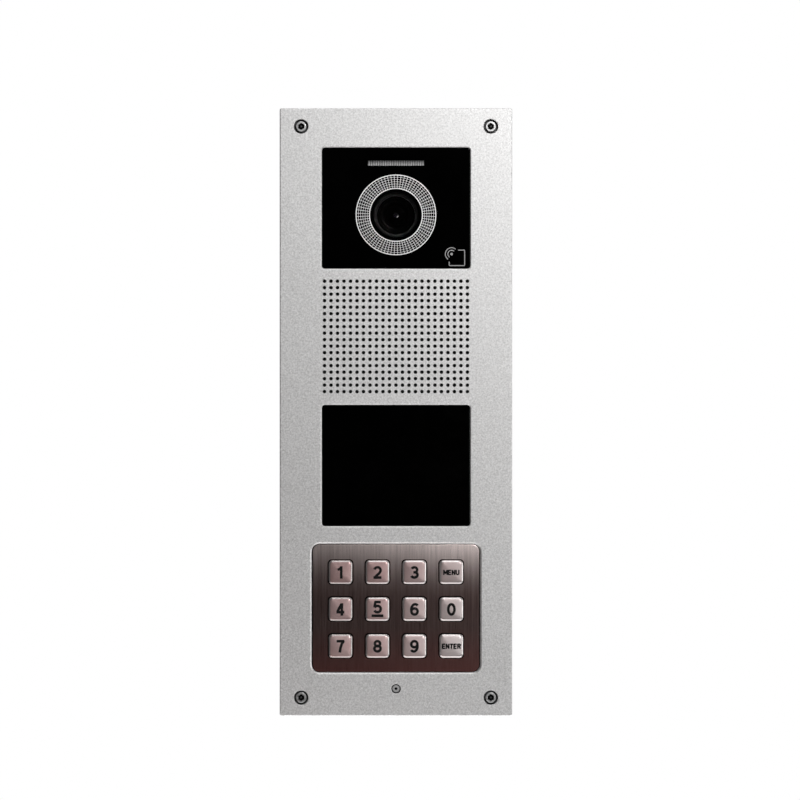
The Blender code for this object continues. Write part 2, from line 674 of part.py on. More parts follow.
def speaker(parent):
    """Dust mesh in the panel's rear rebate, then gasket, basket, cone and magnet."""
    mesh_plate = block(MESH_WIDTH, MESH_HEIGHT, PANEL_REAR - MESH_THICKNESS, PANEL_REAR)
    piece("speaker_mesh", mesh_plate, "paper_cone", parent, z=GRILLE_Z)

    opening = SPEAKER_DIAMETER - 2 * SPEAKER_RIM
    gasket_front = PANEL_REAR + FIT
    gasket_rear = gasket_front + SPEAKER_GASKET_THICKNESS
    gasket = (
        (SPEAKER_DIAMETER, gasket_front),
        (SPEAKER_DIAMETER, gasket_rear),
        (opening, gasket_rear),
        (opening, gasket_front),
    )
    piece("speaker_gasket", turned(gasket, SPEAKER_SIDES), "grey_foam", parent, z=GRILLE_Z, ring=True)

    front = gasket_rear + FIT
    flange_rear = front + SPEAKER_FLANGE
    rear = front + SPEAKER_DEPTH
    basket = (
        (SPEAKER_DIAMETER, front),
        (SPEAKER_DIAMETER, flange_rear),
        (opening + 2 * SPEAKER_WALL, flange_rear),
        (SPEAKER_BASE_DIAMETER, rear - SPEAKER_WALL),
        (SPEAKER_BASE_DIAMETER, rear),
        (SPEAKER_BORE, rear),
        (SPEAKER_BORE, rear - SPEAKER_WALL),
        (SPEAKER_BASE_DIAMETER - 2 * SPEAKER_WALL, rear - SPEAKER_WALL),
        (opening, flange_rear),
        (opening, front),
    )
    sections = turned(basket, SPEAKER_SIDES)
    frame = piece("speaker_frame", sections, "black_plastic", parent, z=GRILLE_Z, ring=True)
    window_front = flange_rear + BASKET_WINDOW_MARGIN
    window_rear = rear - SPEAKER_WALL - BASKET_WINDOW_MARGIN
    for name, width, height in (
        ("upright_windows", BASKET_WINDOW, SPEAKER_DIAMETER),
        ("level_windows", SPEAKER_DIAMETER, BASKET_WINDOW),
    ):
        windows = bmesh.new()
        add_loft(windows, block(width, height, window_front, window_rear))
        shape_with(frame, "DIFFERENCE", name, windows)

    rim = opening - 2 * FIT
    throat = front + CONE_DEPTH
    cone = (
        (CONE_THROAT / 2, throat - DUST_CAP_HEIGHT),
        (CONE_THROAT, throat),
        (rim, front),
        (rim, front + CONE_THICKNESS),
        (CONE_THROAT + 2 * CONE_THICKNESS, throat + CONE_THICKNESS),
    )
    piece("speaker_cone", turned(cone, SPEAKER_SIDES), "paper_cone", parent, z=GRILLE_Z)

    magnet_front = rear + FIT
    magnet_rear = magnet_front + MAGNET_HEIGHT
    magnet = (
        (MAGNET_DIAMETER, magnet_front),
        (MAGNET_DIAMETER, magnet_rear - MAGNET_CHAMFER),
        (MAGNET_DIAMETER - 2 * MAGNET_CHAMFER, magnet_rear),
    )
    piece("speaker_magnet", turned(magnet, SPEAKER_SIDES), "ferrite", parent, z=GRILLE_Z)


def display(parent):
    window("display_window", DISPLAY_WINDOW_Z, parent)
    module = block(LCD_WIDTH, LCD_HEIGHT, BEHIND_WINDOW, BEHIND_WINDOW + LCD_THICKNESS)
    piece("lcd_panel", module, "lcd_glass", parent, z=DISPLAY_WINDOW_Z)
    inner = rounded(LCD_WIDTH + 2 * FIT, LCD_HEIGHT + 2 * FIT)
    outer = rounded(LCD_WIDTH + 2 * LCD_FRAME_WALL, LCD_HEIGHT + 2 * LCD_FRAME_WALL)
    rear = BEHIND_WINDOW + LCD_FRAME_DEPTH
    sections = [(outer, BEHIND_WINDOW), (outer, rear), (inner, rear), (inner, BEHIND_WINDOW)]
    piece("lcd_frame", sections, "black_plastic", parent, z=DISPLAY_WINDOW_Z, ring=True)


def keypad(parent):
    """Recessed plate, captive keys, the membrane whose domes return them, and the board behind."""
    block_centre = empty("keypad", parent, KEY_BLOCK_Z)

    plate_sections = block(PLATE_WIDTH, PLATE_HEIGHT, PLATE_FRONT, PLATE_REAR, PLATE_CORNER)
    plate = piece("keypad_plate", plate_sections, "brushed_steel", block_centre, z=PLATE_Z - KEY_BLOCK_Z)
    holes = bmesh.new()
    front = PLATE_FRONT - OVERCUT
    hole = block(KEY_HOLE, KEY_HOLE, front, PLATE_REAR + OVERCUT, KEY_HOLE_CORNER, steps=1)
    for _, x, z in key_places():
        add_loft(holes, hole, x=x, z=z + KEY_BLOCK_Z - PLATE_Z)
    shape_with(plate, "DIFFERENCE", "key_holes", holes)

    top = rounded(KEY_SIZE - 2 * KEY_EDGE, KEY_SIZE - 2 * KEY_EDGE, KEY_CORNER - KEY_EDGE)
    cap = rounded(KEY_SIZE, KEY_SIZE, KEY_CORNER)
    lip = rounded(KEY_LIP_SIZE, KEY_LIP_SIZE, KEY_CORNER)
    key = [
        (top, KEY_FRONT),
        (cap, KEY_FRONT + KEY_EDGE),
        (cap, KEY_LIP_FRONT),
        (lip, KEY_LIP_FRONT),
        (lip, KEY_REAR),
    ]
    for name, x, z in key_places():
        piece(f"key_{name}", key, "key_metal", block_centre, x, z)

    sheet = block(KEY_BLOCK_WIDTH, KEY_BLOCK_HEIGHT, MEMBRANE_FRONT, MEMBRANE_REAR)
    membrane = piece("keypad_membrane", sheet, "silicone", block_centre)
    domes = bmesh.new()
    root = MEMBRANE_FRONT + MEMBRANE_THICKNESS / 2
    dome = turned(((DOME_TOP, DOME_FRONT), (DOME_BASE, MEMBRANE_FRONT), (DOME_BASE, root)), DOME_SIDES)
    for _, x, z in key_places():
        add_loft(domes, dome, x=x, z=z)
    shape_with(membrane, "UNION", "domes", domes)

    width = 2 * POST_X + POST_DIAMETER + 2 * POST_MARGIN
    height = 2 * POST_Z + POST_DIAMETER + 2 * POST_MARGIN
    board = block(width, height, KEYPAD_BOARD_FRONT, KEYPAD_BOARD_FRONT + BOARD_THICKNESS)
    piece("keypad_board", board, "circuit_board", block_centre)


def microphone(parent):
    """A grommet with its nose in the port, and the capsule in the cup behind it."""
    front = PANEL_FRONT + MIC_SETBACK
    cup_front = PANEL_REAR + FIT
    cup_rear = cup_front + MIC_CUP_DEPTH
    bore = MIC_CAPSULE + 2 * FIT
    cup_floor = cup_rear - MIC_CAPSULE_HEIGHT - FIT
    grommet = (
        (MIC_HOLE, front),
        (MIC_NOSE, front),
        (MIC_NOSE, cup_front),
        (MIC_CUP, cup_front),
        (MIC_CUP, cup_rear),
        (bore, cup_rear),
        (bore, cup_floor),
        (MIC_HOLE, cup_floor),
    )
    piece("mic_grommet", turned(grommet, MIC_SIDES), "grey_rubber", parent, z=MIC_Z, ring=True)
    capsule = drill(MIC_CAPSULE, cup_floor + FIT, cup_rear, MIC_SIDES)
    piece("mic_capsule", capsule, "tinned_steel", parent, z=MIC_Z)


def rear_cover(parent):
    cavity = rounded(CAVITY_WIDTH, CAVITY_HEIGHT, COVER_CORNER - COVER_WALL)
    body = rounded(COVER_WIDTH, COVER_HEIGHT, COVER_CORNER)
    drawn = 2 * COVER_DRAFT
    tail = rounded(COVER_WIDTH - drawn, COVER_HEIGHT - drawn, COVER_CORNER)
    drawn += 2 * COVER_EDGE
    back = rounded(COVER_WIDTH - drawn, COVER_HEIGHT - drawn, COVER_CORNER - COVER_EDGE)
    floor_width = CAVITY_WIDTH - 2 * COVER_DRAFT
    floor_height = CAVITY_HEIGHT - 2 * COVER_DRAFT
    floor = rounded(floor_width, floor_height, COVER_CORNER - COVER_WALL)
    flange = rounded(COVER_WIDTH + 2 * FLANGE_SIDE, COVER_HEIGHT + 2 * FLANGE_END, FLANGE_CORNER)
    sections = [
        (floor, COVER_FLOOR),
        (cavity, FLANGE_FRONT),
        (flange, FLANGE_FRONT),
        (flange, FLANGE_REAR),
        (body, FLANGE_REAR),
        (tail, COVER_DEPTH - COVER_EDGE),
        (back, COVER_DEPTH),
    ]
    cover = piece("rear_cover", sections, "black_plastic", parent)

    bosses = bmesh.new()
    boss = drill(BOSS_DIAMETER, MAIN_BOARD_REAR + FIT, COVER_FLOOR + COVER_WALL / 2, BOSS_SIDES)
    for sx, sz in corner_signs():
        x = sx * (MAIN_BOARD_WIDTH / 2 - BOSS_INSET)
        z = MAIN_BOARD_Z + sz * (MAIN_BOARD_HEIGHT / 2 - BOSS_INSET)
        add_loft(bosses, boss, x=x, z=z)
    shape_with(cover, "UNION", "board_bosses", bosses)

    cuts = bmesh.new()
    sockets = (
        (JACK_X, JACK_WIDTH, JACK_HEIGHT),
        (BUS_TERMINAL_X, BUS_TERMINAL_WIDTH, TERMINAL_HEIGHT),
        (POWER_TERMINAL_X, POWER_TERMINAL_WIDTH, TERMINAL_HEIGHT),
    )
    for x, width, height in sockets:
        opening = block(width + 2 * FIT, height + 2 * FIT, COVER_FLOOR - OVERCUT, COVER_DEPTH + OVERCUT)
        add_loft(cuts, opening, x=x, z=SOCKET_ROW_Z)
    guide = drill(TAMPER_BUTTON + 2 * SLIDE_FIT, COVER_FLOOR - OVERCUT, COVER_DEPTH + OVERCUT, TAMPER_SIDES)
    add_loft(cuts, guide, x=TAMPER_X, z=TAMPER_Z)
    hole = COVER_SCREW_SHANK + 2 * FIT
    through = drill(hole, FLANGE_FRONT - OVERCUT, FLANGE_REAR + OVERCUT, COVER_SCREW_SIDES)
    for x, z in cover_screw_places():
        add_loft(cuts, through, x=x, z=z)
    shape_with(cover, "DIFFERENCE", "cover_openings", cuts)

    inner = rounded(
        CAVITY_WIDTH + 2 * SEAL_OVERHANG, CAVITY_HEIGHT + 2 * SEAL_OVERHANG, COVER_CORNER - COVER_WALL
    )
    outer = rounded(COVER_WIDTH + 2 * SEAL_OVERHANG, COVER_HEIGHT + 2 * SEAL_OVERHANG, COVER_CORNER)
    seal_rear = SEAL_FRONT + SEAL_THICKNESS
    seal = [(outer, SEAL_FRONT), (outer, seal_rear), (inner, seal_rear), (inner, SEAL_FRONT)]
    piece("cover_seal", seal, "black_rubber", parent, ring=True)

    head_front = FLANGE_REAR + FIT
    screw = (
        (COVER_SCREW_SHANK, PANEL_REAR - COVER_SCREW_BITE),
        (COVER_SCREW_SHANK, head_front),
        (COVER_SCREW_HEAD, head_front),
        (COVER_SCREW_HEAD, head_front + COVER_SCREW_HEAD_HEIGHT),
    )
    for number, (x, z) in enumerate(cover_screw_places(), 1):
        piece(f"cover_screw_{number}", turned(screw, COVER_SCREW_SIDES), "screw_steel", parent, x, z)


def socket_shell(name, width, height, depth, material, parent, x):
    """A socket open to the rear, standing on the main board."""
    hollow = rounded(width - 2 * SOCKET_WALL, height - 2 * SOCKET_WALL)
    shell = rounded(width, height)
    sections = [
        (hollow, COVER_DEPTH - depth),
        (hollow, COVER_DEPTH),
        (shell, COVER_DEPTH),
        (shell, SOCKET_FRONT),
    ]
    return piece(name, sections, material, parent, x, SOCKET_ROW_Z)


def main_board(parent):
    board = block(MAIN_BOARD_WIDTH, MAIN_BOARD_HEIGHT, MAIN_BOARD_FRONT, MAIN_BOARD_REAR, MAIN_BOARD_CORNER)
    piece("main_board", board, "circuit_board", parent, z=MAIN_BOARD_Z)

    can_rear = MAIN_BOARD_FRONT - FIT
    can_front = can_rear - SHIELD_THICKNESS
    top = rounded(SHIELD_WIDTH - 2 * SHIELD_EDGE, SHIELD_HEIGHT - 2 * SHIELD_EDGE)
    side = rounded(SHIELD_WIDTH, SHIELD_HEIGHT)
    can = [(top, can_front), (side, can_front + SHIELD_EDGE), (side, can_rear)]
    piece("processor_shield", can, "tinned_steel", parent, SHIELD_X, SHIELD_Z)

    jack = socket_shell("network_jack", JACK_WIDTH, JACK_HEIGHT, JACK_DEPTH, "tinned_steel", parent, JACK_X)
    latch = bmesh.new()
    notch = block(JACK_LATCH_WIDTH, JACK_LATCH_HEIGHT, COVER_DEPTH - JACK_DEPTH, COVER_DEPTH + OVERCUT)
    add_loft(latch, notch, z=-(JACK_HEIGHT - SOCKET_WALL) / 2)
    shape_with(jack, "DIFFERENCE", "latch_notch", latch)
    for name, width, x in (
        ("bus_terminal", BUS_TERMINAL_WIDTH, BUS_TERMINAL_X),
        ("power_terminal", POWER_TERMINAL_WIDTH, POWER_TERMINAL_X),
    ):
        socket_shell(name, width, TERMINAL_HEIGHT, TERMINAL_DEPTH, "terminal_green", parent, x)


def spring_coil(parent, first, last):
    """One unbroken helix between two depths, as a round wire."""
    data = bpy.data.curves.new("tamper_spring", "CURVE")
    data.dimensions = "3D"
    data.bevel_depth = SPRING_WIRE / 2
    data.bevel_resolution = 1
    data.use_fill_caps = True
    count = SPRING_TURNS * SPRING_TURN_POINTS
    rise = last - first - SPRING_WIRE
    spline = data.splines.new("POLY")
    spline.points.add(count)
    for i in range(count + 1):
        angle = 2 * math.pi * i / SPRING_TURN_POINTS
        x = SPRING_DIAMETER / 2 * math.cos(angle)
        z = SPRING_DIAMETER / 2 * math.sin(angle)
        spline.points[i].co = (x, first + SPRING_WIRE / 2 + rise * i / count, z, 1.0)
    data.materials.append(finish("tinned_steel"))
    obj = bpy.data.objects.new("tamper_spring", data)
    bpy.context.collection.objects.link(obj)
    obj.parent = parent
    obj.location = (TAMPER_X, 0.0, TAMPER_Z)
    places = [point.co.xyz for point in spline.points]
    turn_pairs = zip(places, places[SPRING_TURN_POINTS:])
    least = min((second - first).length for first, second in turn_pairs)
    print(f"tamper_spring: least gap between turns {(least - SPRING_WIRE) / MM:.2f} mm")


def tamper(parent):
    """Switch body on the board, and a collared plunger that the spring holds against the cover."""
    body_front = SOCKET_FRONT
    body_rear = body_front + TAMPER_BODY_HEIGHT
    shell = rounded(TAMPER_BODY, TAMPER_BODY, TAMPER_BODY_CORNER)
    bore = circle(TAMPER_STEM + 2 * SLIDE_FIT, len(shell))
    body = [(shell, body_front), (shell, body_rear), (bore, body_rear), (bore, body_front)]
    piece("tamper_switch", body, "black_plastic", parent, TAMPER_X, TAMPER_Z, ring=True)

    collar_rear = COVER_FLOOR - FIT
    collar_front = collar_rear - TAMPER_COLLAR_HEIGHT
    plunger = (
        (TAMPER_STEM, body_rear - TAMPER_STEM_ENGAGED),
        (TAMPER_STEM, collar_front),
        (TAMPER_COLLAR, collar_front),
        (TAMPER_COLLAR, collar_rear),
        (TAMPER_BUTTON, collar_rear),
        (TAMPER_BUTTON, COVER_DEPTH + TAMPER_PROUD),
    )
    piece("tamper_plunger", turned(plunger, TAMPER_SIDES), "black_plastic", parent, TAMPER_X, TAMPER_Z)
    spring_coil(parent, body_rear + FIT, collar_front - FIT)


def main():
    clear_scene()
    station = empty("door_station")
    front_panel(station)
    wall_gasket(station)
    panel_screws(station)
    camera_window(station)
    fill_light(station)
    camera(station)
    reader_antenna(station)
    speaker(station)
    display(station)
    keypad(station)
    microphone(station)
    rear_cover(station)
    main_board(station)
    tamper(station)


main()
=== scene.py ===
import math
from types import SimpleNamespace

import bmesh
import bpy
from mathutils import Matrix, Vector


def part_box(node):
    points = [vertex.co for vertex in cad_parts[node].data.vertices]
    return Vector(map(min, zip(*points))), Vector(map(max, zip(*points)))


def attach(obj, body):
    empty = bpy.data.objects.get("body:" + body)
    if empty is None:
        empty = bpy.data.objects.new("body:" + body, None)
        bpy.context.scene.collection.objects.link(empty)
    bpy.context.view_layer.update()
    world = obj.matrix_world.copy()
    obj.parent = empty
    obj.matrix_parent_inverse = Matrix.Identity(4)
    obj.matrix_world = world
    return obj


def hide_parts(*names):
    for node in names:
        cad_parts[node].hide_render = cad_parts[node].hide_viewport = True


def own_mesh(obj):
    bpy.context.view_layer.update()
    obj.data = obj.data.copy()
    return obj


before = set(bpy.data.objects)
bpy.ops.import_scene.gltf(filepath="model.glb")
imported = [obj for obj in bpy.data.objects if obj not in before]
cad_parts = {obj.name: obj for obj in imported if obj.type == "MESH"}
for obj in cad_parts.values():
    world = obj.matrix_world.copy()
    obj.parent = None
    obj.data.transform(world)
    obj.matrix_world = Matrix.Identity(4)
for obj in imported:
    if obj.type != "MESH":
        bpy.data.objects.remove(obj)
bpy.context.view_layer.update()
scene = bpy.context.scene
scene.view_settings.view_transform = "Standard"
mm = 0.001
gap = 0.3 * mm  # what the solids keep between seated pieces
past = 1 * mm  # how far a cutter runs past a face
rimSlope = 0.8  # depth over width of the chamfers round openings
fewSides = 24  # for small round shapes
quarters = ((1, 1), (-1, 1), (-1, -1), (1, -1))
keyNames = ("1", "2", "3", "menu", "4", "5", "6", "0", "7", "8", "9", "enter")


def spot(node):  # where a CAD node lies, front is towards -Y
    low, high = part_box(node)
    middle, size = (low + high) / 2, high - low
    return SimpleNamespace(x=middle.x, z=middle.z, wide=size.x, tall=size.z, front=low.y, rear=high.y)


def place(x, z):
    return SimpleNamespace(x=x, z=z)


def lengths(**values):  # from millimetres
    return {name: tuple(v * mm for v in value) if isinstance(value, tuple) else value * mm
            for name, value in values.items()}


def named(look):
    return SimpleNamespace(**look)


origin = place(0.0, 0.0)
panel, dust = spot("front_panel"), spot("speaker_mesh")
panelRear = dust.rear
plate, membrane, mic = spot("keypad_plate"), spot("keypad_membrane"), spot("mic_grommet")
windows = {"camera": spot("camera_window"), "display": spot("display_window")}
panelScrews = [spot(f"panel_screw_{i}") for i in range(1, 5)]
coverScrews = [spot(f"cover_screw_{i}") for i in range(1, 7)]
lens, light = spot("lens_element"), spot("fill_light_lens")


# shapes: rows are (outline, depth) pairs, and a loft joins them into one closed skin

def outline(wide, tall, corner, steps=6):
    points = []
    for quarter, (sx, sz) in enumerate(quarters):
        for step in range(steps + 1):
            angle = math.pi / 2 * (quarter + step / steps)
            points.append((sx * (wide / 2 - corner) + corner * math.cos(angle),
                           sz * (tall / 2 - corner) + corner * math.sin(angle)))
    return points


def ring(across, sides=48):
    turns = [2 * math.pi * (i + 0.5) / sides for i in range(sides)]
    return [(across / 2 * math.cos(a), across / 2 * math.sin(a)) for a in turns]


def turned(profile, sides=48):
    return [(ring(across, sides), y) for across, y in profile]


def slab(shape, front, rear):
    return [(shape, front), (shape, rear)]


def drum(across, front, rear, sides=48):
    return slab(ring(across, sides), front, rear)


def roundOver(wide, tall, corner, y, edge, way=1, steps=4, around=6, deep=None, flat=1.0):
    rows = []  # from a face over to its side; 2 for flat is a plain chamfer
    deep = edge if deep is None else deep
    sharpest = 0.03 * mm
    for step in range(steps + 1):
        angle = math.pi / 2 * step / steps
        inset = edge * (1 - math.sin(angle) ** flat)
        shape = outline(wide - 2 * inset, tall - 2 * inset, max(corner - inset, sharpest), around)
        rows.append((shape, y + way * deep * (1 - max(math.cos(angle), 0.0) ** flat)))
    return rows


def softBlock(wide, tall, corner, front, rear, edge, rearEdge=None, around=6):
    rearEdge = edge if rearEdge is None else rearEdge
    back = roundOver(wide, tall, corner, rear, rearEdge, way=-1, around=around)
    return roundOver(wide, tall, corner, front, edge, around=around) + back[::-1]


def turnedEdge(across, y, edge, way=1, steps=4):  # the same for a turned piece, as (across, y)
    angles = [math.pi / 2 * step / steps for step in range(steps + 1)]
    return [(across - 2 * edge * (1 - math.sin(a)), y + way * edge * (1 - math.cos(a))) for a in angles]


def turnedBlock(across, front, rear, edge, rearEdge=None):
    rearEdge = edge if rearEdge is None else rearEdge
    return turnedEdge(across, front, edge) + turnedEdge(across, rear, rearEdge, -1)[::-1]


def mouth(wide, tall, corner, y, rim, rear):  # a cutter with a chamfered rim at the face y
    wider = outline(wide + 4 * rim, tall + 4 * rim, corner + 2 * rim)
    return [(wider, y - rimSlope * rim)] + slab(outline(wide, tall, corner), y + rimSlope * rim, rear)


def roundMouth(across, y, rim, rear, sides=48):
    return turned(((across + 4 * rim, y - rim), (across, y + rim), (across, rear)), sides)


def loft(bm, rows, at=origin, hollow=False):
    loops = [[bm.verts.new((at.x + px, y, at.z + pz)) for px, pz in points] for points, y in rows]
    pairs = list(zip(loops, loops[1:]))
    if hollow:
        pairs.append((loops[-1], loops[0]))
    else:
        bm.faces.new(loops[0])
        bm.faces.new(loops[-1])
    for first, second in pairs:
        joinLoops(bm, first, second)


def joinLoops(bm, first, second):
    for i in range(len(first)):
        j = (i + 1) % len(first)
        bm.faces.new((first[i], first[j], second[j], second[i]))


def prism(bm, ends):  # between two equal loops of points
    first, last = ([bm.verts.new(point) for point in end] for end in ends)
    bm.faces.new(first)
    bm.faces.new(last)
    joinLoops(bm, first, last)


def arc(x, z, radius, first, last, tall=None, steps=24):
    tall = radius if tall is None else tall
    angles = [math.radians(first + (last - first) * i / steps) for i in range(steps + 1)]
    return [(x + radius * math.cos(a), z + tall * math.sin(a)) for a in angles]


def stroke(bm, points, width, front, rear):  # a raised line along (x, z) points, closed if its ends meet
    meeting = 0.01 * mm
    closed = math.dist(points[0], points[-1]) < meeting
    points = points[:-1] if closed else points
    last = len(points) - 1
    left, right = [], []
    for i, (x, z) in enumerate(points):
        after = points[0 if closed and i == last else min(i + 1, last)]
        before = points[i - 1 if closed else max(i - 1, 0)]
        ahead = Vector(after) - Vector(before)
        side = Vector((-ahead.y, ahead.x)).normalized() * width / 2
        left.append((x + side.x, z + side.y))
        right.append((x - side.x, z - side.y))
    if closed:
        loft(bm, slab(left, front, rear) + slab(right, rear, front), hollow=True)
    else:
        loft(bm, slab(left + right[::-1], front, rear))


def asObject(name, bm):
    bmesh.ops.recalc_face_normals(bm, faces=bm.faces)
    mesh = bpy.data.meshes.new(name)
    bm.to_mesh(mesh)
    bm.free()
    made = bpy.data.objects.new(name, mesh)
    scene.collection.objects.link(made)
    return made


def lofted(name, rows, at=origin, hollow=False):
    bm = bmesh.new()
    loft(bm, rows, at, hollow)
    return asObject(name, bm)


def finalMesh(thing):
    return bpy.data.meshes.new_from_object(thing.evaluated_get(bpy.context.evaluated_depsgraph_get()))


def carve(target, bm, how="DIFFERENCE"):
    tool = asObject("tool", bm)
    step = target.modifiers.new("carve", "BOOLEAN")
    step.operation = how
    step.solver = "MANIFOLD"
    step.object = tool
    shaped = finalMesh(target)
    target.modifiers.clear()
    old = target.data
    target.data = shaped
    bpy.data.meshes.remove(old)
    bpy.data.meshes.remove(tool.data)


def carveOne(target, rows, at=origin, how="DIFFERENCE"):
    bm = bmesh.new()
    loft(bm, rows, at)
    carve(target, bm, how)


def dress(piece, finish, stands=(), body="station", sharp=35):
    piece.data.materials.clear()
    piece.data.materials.append(finish)
    piece.data.shade_smooth()
    piece.data.set_sharp_from_angle(angle=math.radians(sharp))
    even = piece.modifiers.new("evenShading", "WEIGHTED_NORMAL")
    even.keep_sharp = True
    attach(piece, body)
    if stands:
        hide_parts(*stands)
    return piece


def second(piece, finish, chosen):  # another finish on the faces that chosen() picks
    piece.data.materials.append(finish)
    for face in piece.data.polygons:
        if chosen(face):
            face.material_index = len(piece.data.materials) - 1


def beside(face, at, reach):
    return math.hypot(face.center.x - at.x, face.center.z - at.z) < reach


# finishes, each from the object's own coordinates

class Nodes:
    def __init__(self, tree):
        self.tree = tree

    def add(self, kind, inputs=None, **settings):
        node = self.tree.nodes.new(kind)
        for key, value in settings.items():
            setattr(node, key, value)
        for key, value in (inputs or {}).items():
            self.put(node.inputs[key], value)
        return node

    def put(self, socket, value):
        if isinstance(value, bpy.types.NodeSocket):
            self.tree.links.new(value, socket)
        else:
            socket.default_value = value

    def maths(self, first, second, operation="MULTIPLY"):
        return self.add("ShaderNodeMath", {0: first, 1: second}, operation=operation).outputs["Value"]


class Finish(Nodes):
    def __init__(self, name, **values):
        self.material = bpy.data.materials.new(name)
        self.material.use_nodes = True
        super().__init__(self.material.node_tree)
        self.shader = self.tree.nodes["Principled BSDF"]
        self.place = self.add("ShaderNodeTexCoord").outputs["Object"]
        for socket, value in values.items():
            self.feed(socket.replace("_", " "), value)

    def feed(self, socket, value):
        self.put(self.shader.inputs[socket], value)

    def noise(self, size, detail=2.0, stretch=(1, 1, 1)):  # size of the grain in millimetres
        spread = self.add("ShaderNodeMapping", {"Vector": self.place, "Scale": stretch})
        grain = {"Vector": spread.outputs["Vector"], "Scale": 1 / (size * mm), "Detail": detail}
        return self.add("ShaderNodeTexNoise", grain).outputs["Fac"]

    def remap(self, value, low=0.0, high=1.0, start=0.3, stop=0.7):
        inputs = {"Value": value, "From Min": start, "From Max": stop, "To Min": low, "To Max": high}
        return self.add("ShaderNodeMapRange", inputs).outputs["Result"]

    def mean(self, first, second):
        return self.maths(self.maths(first, second, "ADD"), 0.5)

    def axis(self, name):
        return self.add("ShaderNodeSeparateXYZ", {"Vector": self.place}).outputs[name]

    def upwards(self, at, start, stop, low=0.0, high=1.0):  # graded over a piece, in shares of its height
        return self.remap(self.axis("Z"), low, high, at.z + start * at.tall, at.z + stop * at.tall)

    def rightwards(self, at, start, stop, low=0.0, high=1.0):
        return self.remap(self.axis("X"), low, high, start * at.wide, stop * at.wide)

    def colours(self, value, low, high):  # each a socket, a colour or a grey
        mix = self.add("ShaderNodeMix", {0: value}, data_type="RGBA")
        for socket, tone in ((6, low), (7, high)):
            if isinstance(tone, float):
                tone = (tone, tone, tone)
            self.put(mix.inputs[socket], (*tone, 1) if isinstance(tone, tuple) else tone)
        self.feed("Base Color", mix.outputs[2])
        return mix.outputs[2]

    def bump(self, height, strength, depth):  # depth in millimetres
        inputs = {"Height": height, "Strength": strength, "Distance": depth * mm}
        self.feed("Normal", self.add("ShaderNodeBump", inputs).outputs["Normal"])

    def surface(self, grain, rough, bump, relief=None):
        self.feed("Roughness", self.remap(grain, *rough))
        self.bump(grain if relief is None else relief, *bump)
        return self.material


def blastedAluminium():
    k = named(dict(grain=1.2, fine=0.45, low=(0.56448, 0.56, 0.55552), high=(0.86344, 0.86, 0.85656),
                   span=(0.36, 0.64), rough=(0.44, 0.56), bump=(0.45, 0.06)))
    made = Finish("blastedAluminium", Metallic=1.0)
    fine = made.noise(k.fine)
    both = made.mean(made.noise(k.grain, 3.0), fine)
    made.colours(made.remap(both, 0.0, 1.0, *k.span), k.low, k.high)
    return made.surface(fine, k.rough, k.bump, both)


def darkBrushedSteel():  # brushed upright, with painted reflections: reddish towards the foot and a bright painted highlight towards the top right
    k = named(dict(low=(0.072, 0.044, 0.041), high=(0.136, 0.096, 0.090), foot=(0.185, 0.072, 0.066),
                   top=(0.98, 0.85, 0.82), line=(0.10, 2.0, (1, 1, 0.006)), band=(1.4, 2.0, (1, 1, 0.02)),
                   span=(0.33, 0.67), rough=(0.26, 0.40), bump=(0.12, 0.02), sheen=(0.75, 1.0), topPower=3.0,
                   footGrade=(-0.5, -0.15, 0.75, 0.0), topGrade=(-0.05, 0.47),
                   sheenGrade=(-0.4, 0.3, 0.55, 1.0)))
    made = Finish("darkBrushedSteel", Metallic=1.0)
    lines, bands = made.noise(*k.line), made.noise(*k.band)
    streak = made.remap(made.mean(lines, bands), 0.0, 1.0, *k.span)
    dark = made.colours(streak, k.low, k.high)
    # painted reflection: reddish towards the foot of the plate
    dark = made.colours(made.upwards(plate, *k.footGrade), dark, k.foot)
    # painted highlight: brighter towards the top right, along the brushed bands
    rise = made.maths(made.upwards(plate, *k.topGrade), k.topPower, "POWER")
    sheen = made.maths(made.rightwards(plate, *k.sheenGrade), made.remap(bands, *k.sheen))
    made.colours(made.maths(rise, sheen), dark, k.top)
    return made.surface(lines, k.rough, k.bump)


def keyMetal():  # painted light: paler towards the foot and to the right, as the keys are in the photo, with a pink tint that is a painted warm reflection
    k = named(dict(low=(0.575, 0.372, 0.360), high=(0.780, 0.545, 0.530), right=(0.68, 0.615, 0.605),
                   footLow=(0.81, 0.530, 0.515), footHigh=(1.0, 0.775, 0.755), footRight=(1.0, 0.965, 0.955),
                   grain=0.35, cloud=9, rough=(0.30, 0.40), bump=(0.12, 0.02),
                   footGrade=(-0.29, 0.29, 1.0, 0.0), rightGrade=(-0.1, 0.45, 0.0, 0.8)))
    made = Finish("keyMetal", Metallic=1.0)
    grain = made.noise(k.grain, 3.0)
    speck = made.remap(made.mean(grain, made.noise(k.cloud)))
    foot = made.upwards(plate, *k.footGrade)
    upper = made.colours(speck, k.low, k.high)
    # painted light and painted reflection: pink above, paler towards the foot
    pink = made.colours(foot, upper, made.colours(speck, k.footLow, k.footHigh))
    pale = made.colours(foot, k.right, k.footRight)
    made.colours(made.rightwards(plate, *k.rightGrade), pink, pale)
    return made.surface(grain, k.rough, k.bump)


def keyBevel():  # painted shade: the bevels of the left keys are duller, graded across the plate
    k = named(dict(leftLow=(0.40, 0.365, 0.355), leftHigh=(0.50, 0.460, 0.450), rightLow=(0.62, 0.580, 0.570),
                   rightHigh=(0.77, 0.730, 0.720), rightGrade=(-0.35, 0.11), grain=0.35, rough=(0.30, 0.40),
                   bump=(0.10, 0.02)))
    made = Finish("keyEdge", Metallic=1.0)
    grain = made.noise(k.grain, 3.0)
    speck = made.remap(grain)
    left, right = made.colours(speck, k.leftLow, k.leftHigh), made.colours(speck, k.rightLow, k.rightHigh)
    made.colours(made.rightwards(plate, *k.rightGrade), left, right)
    return made.surface(grain, k.rough, k.bump)


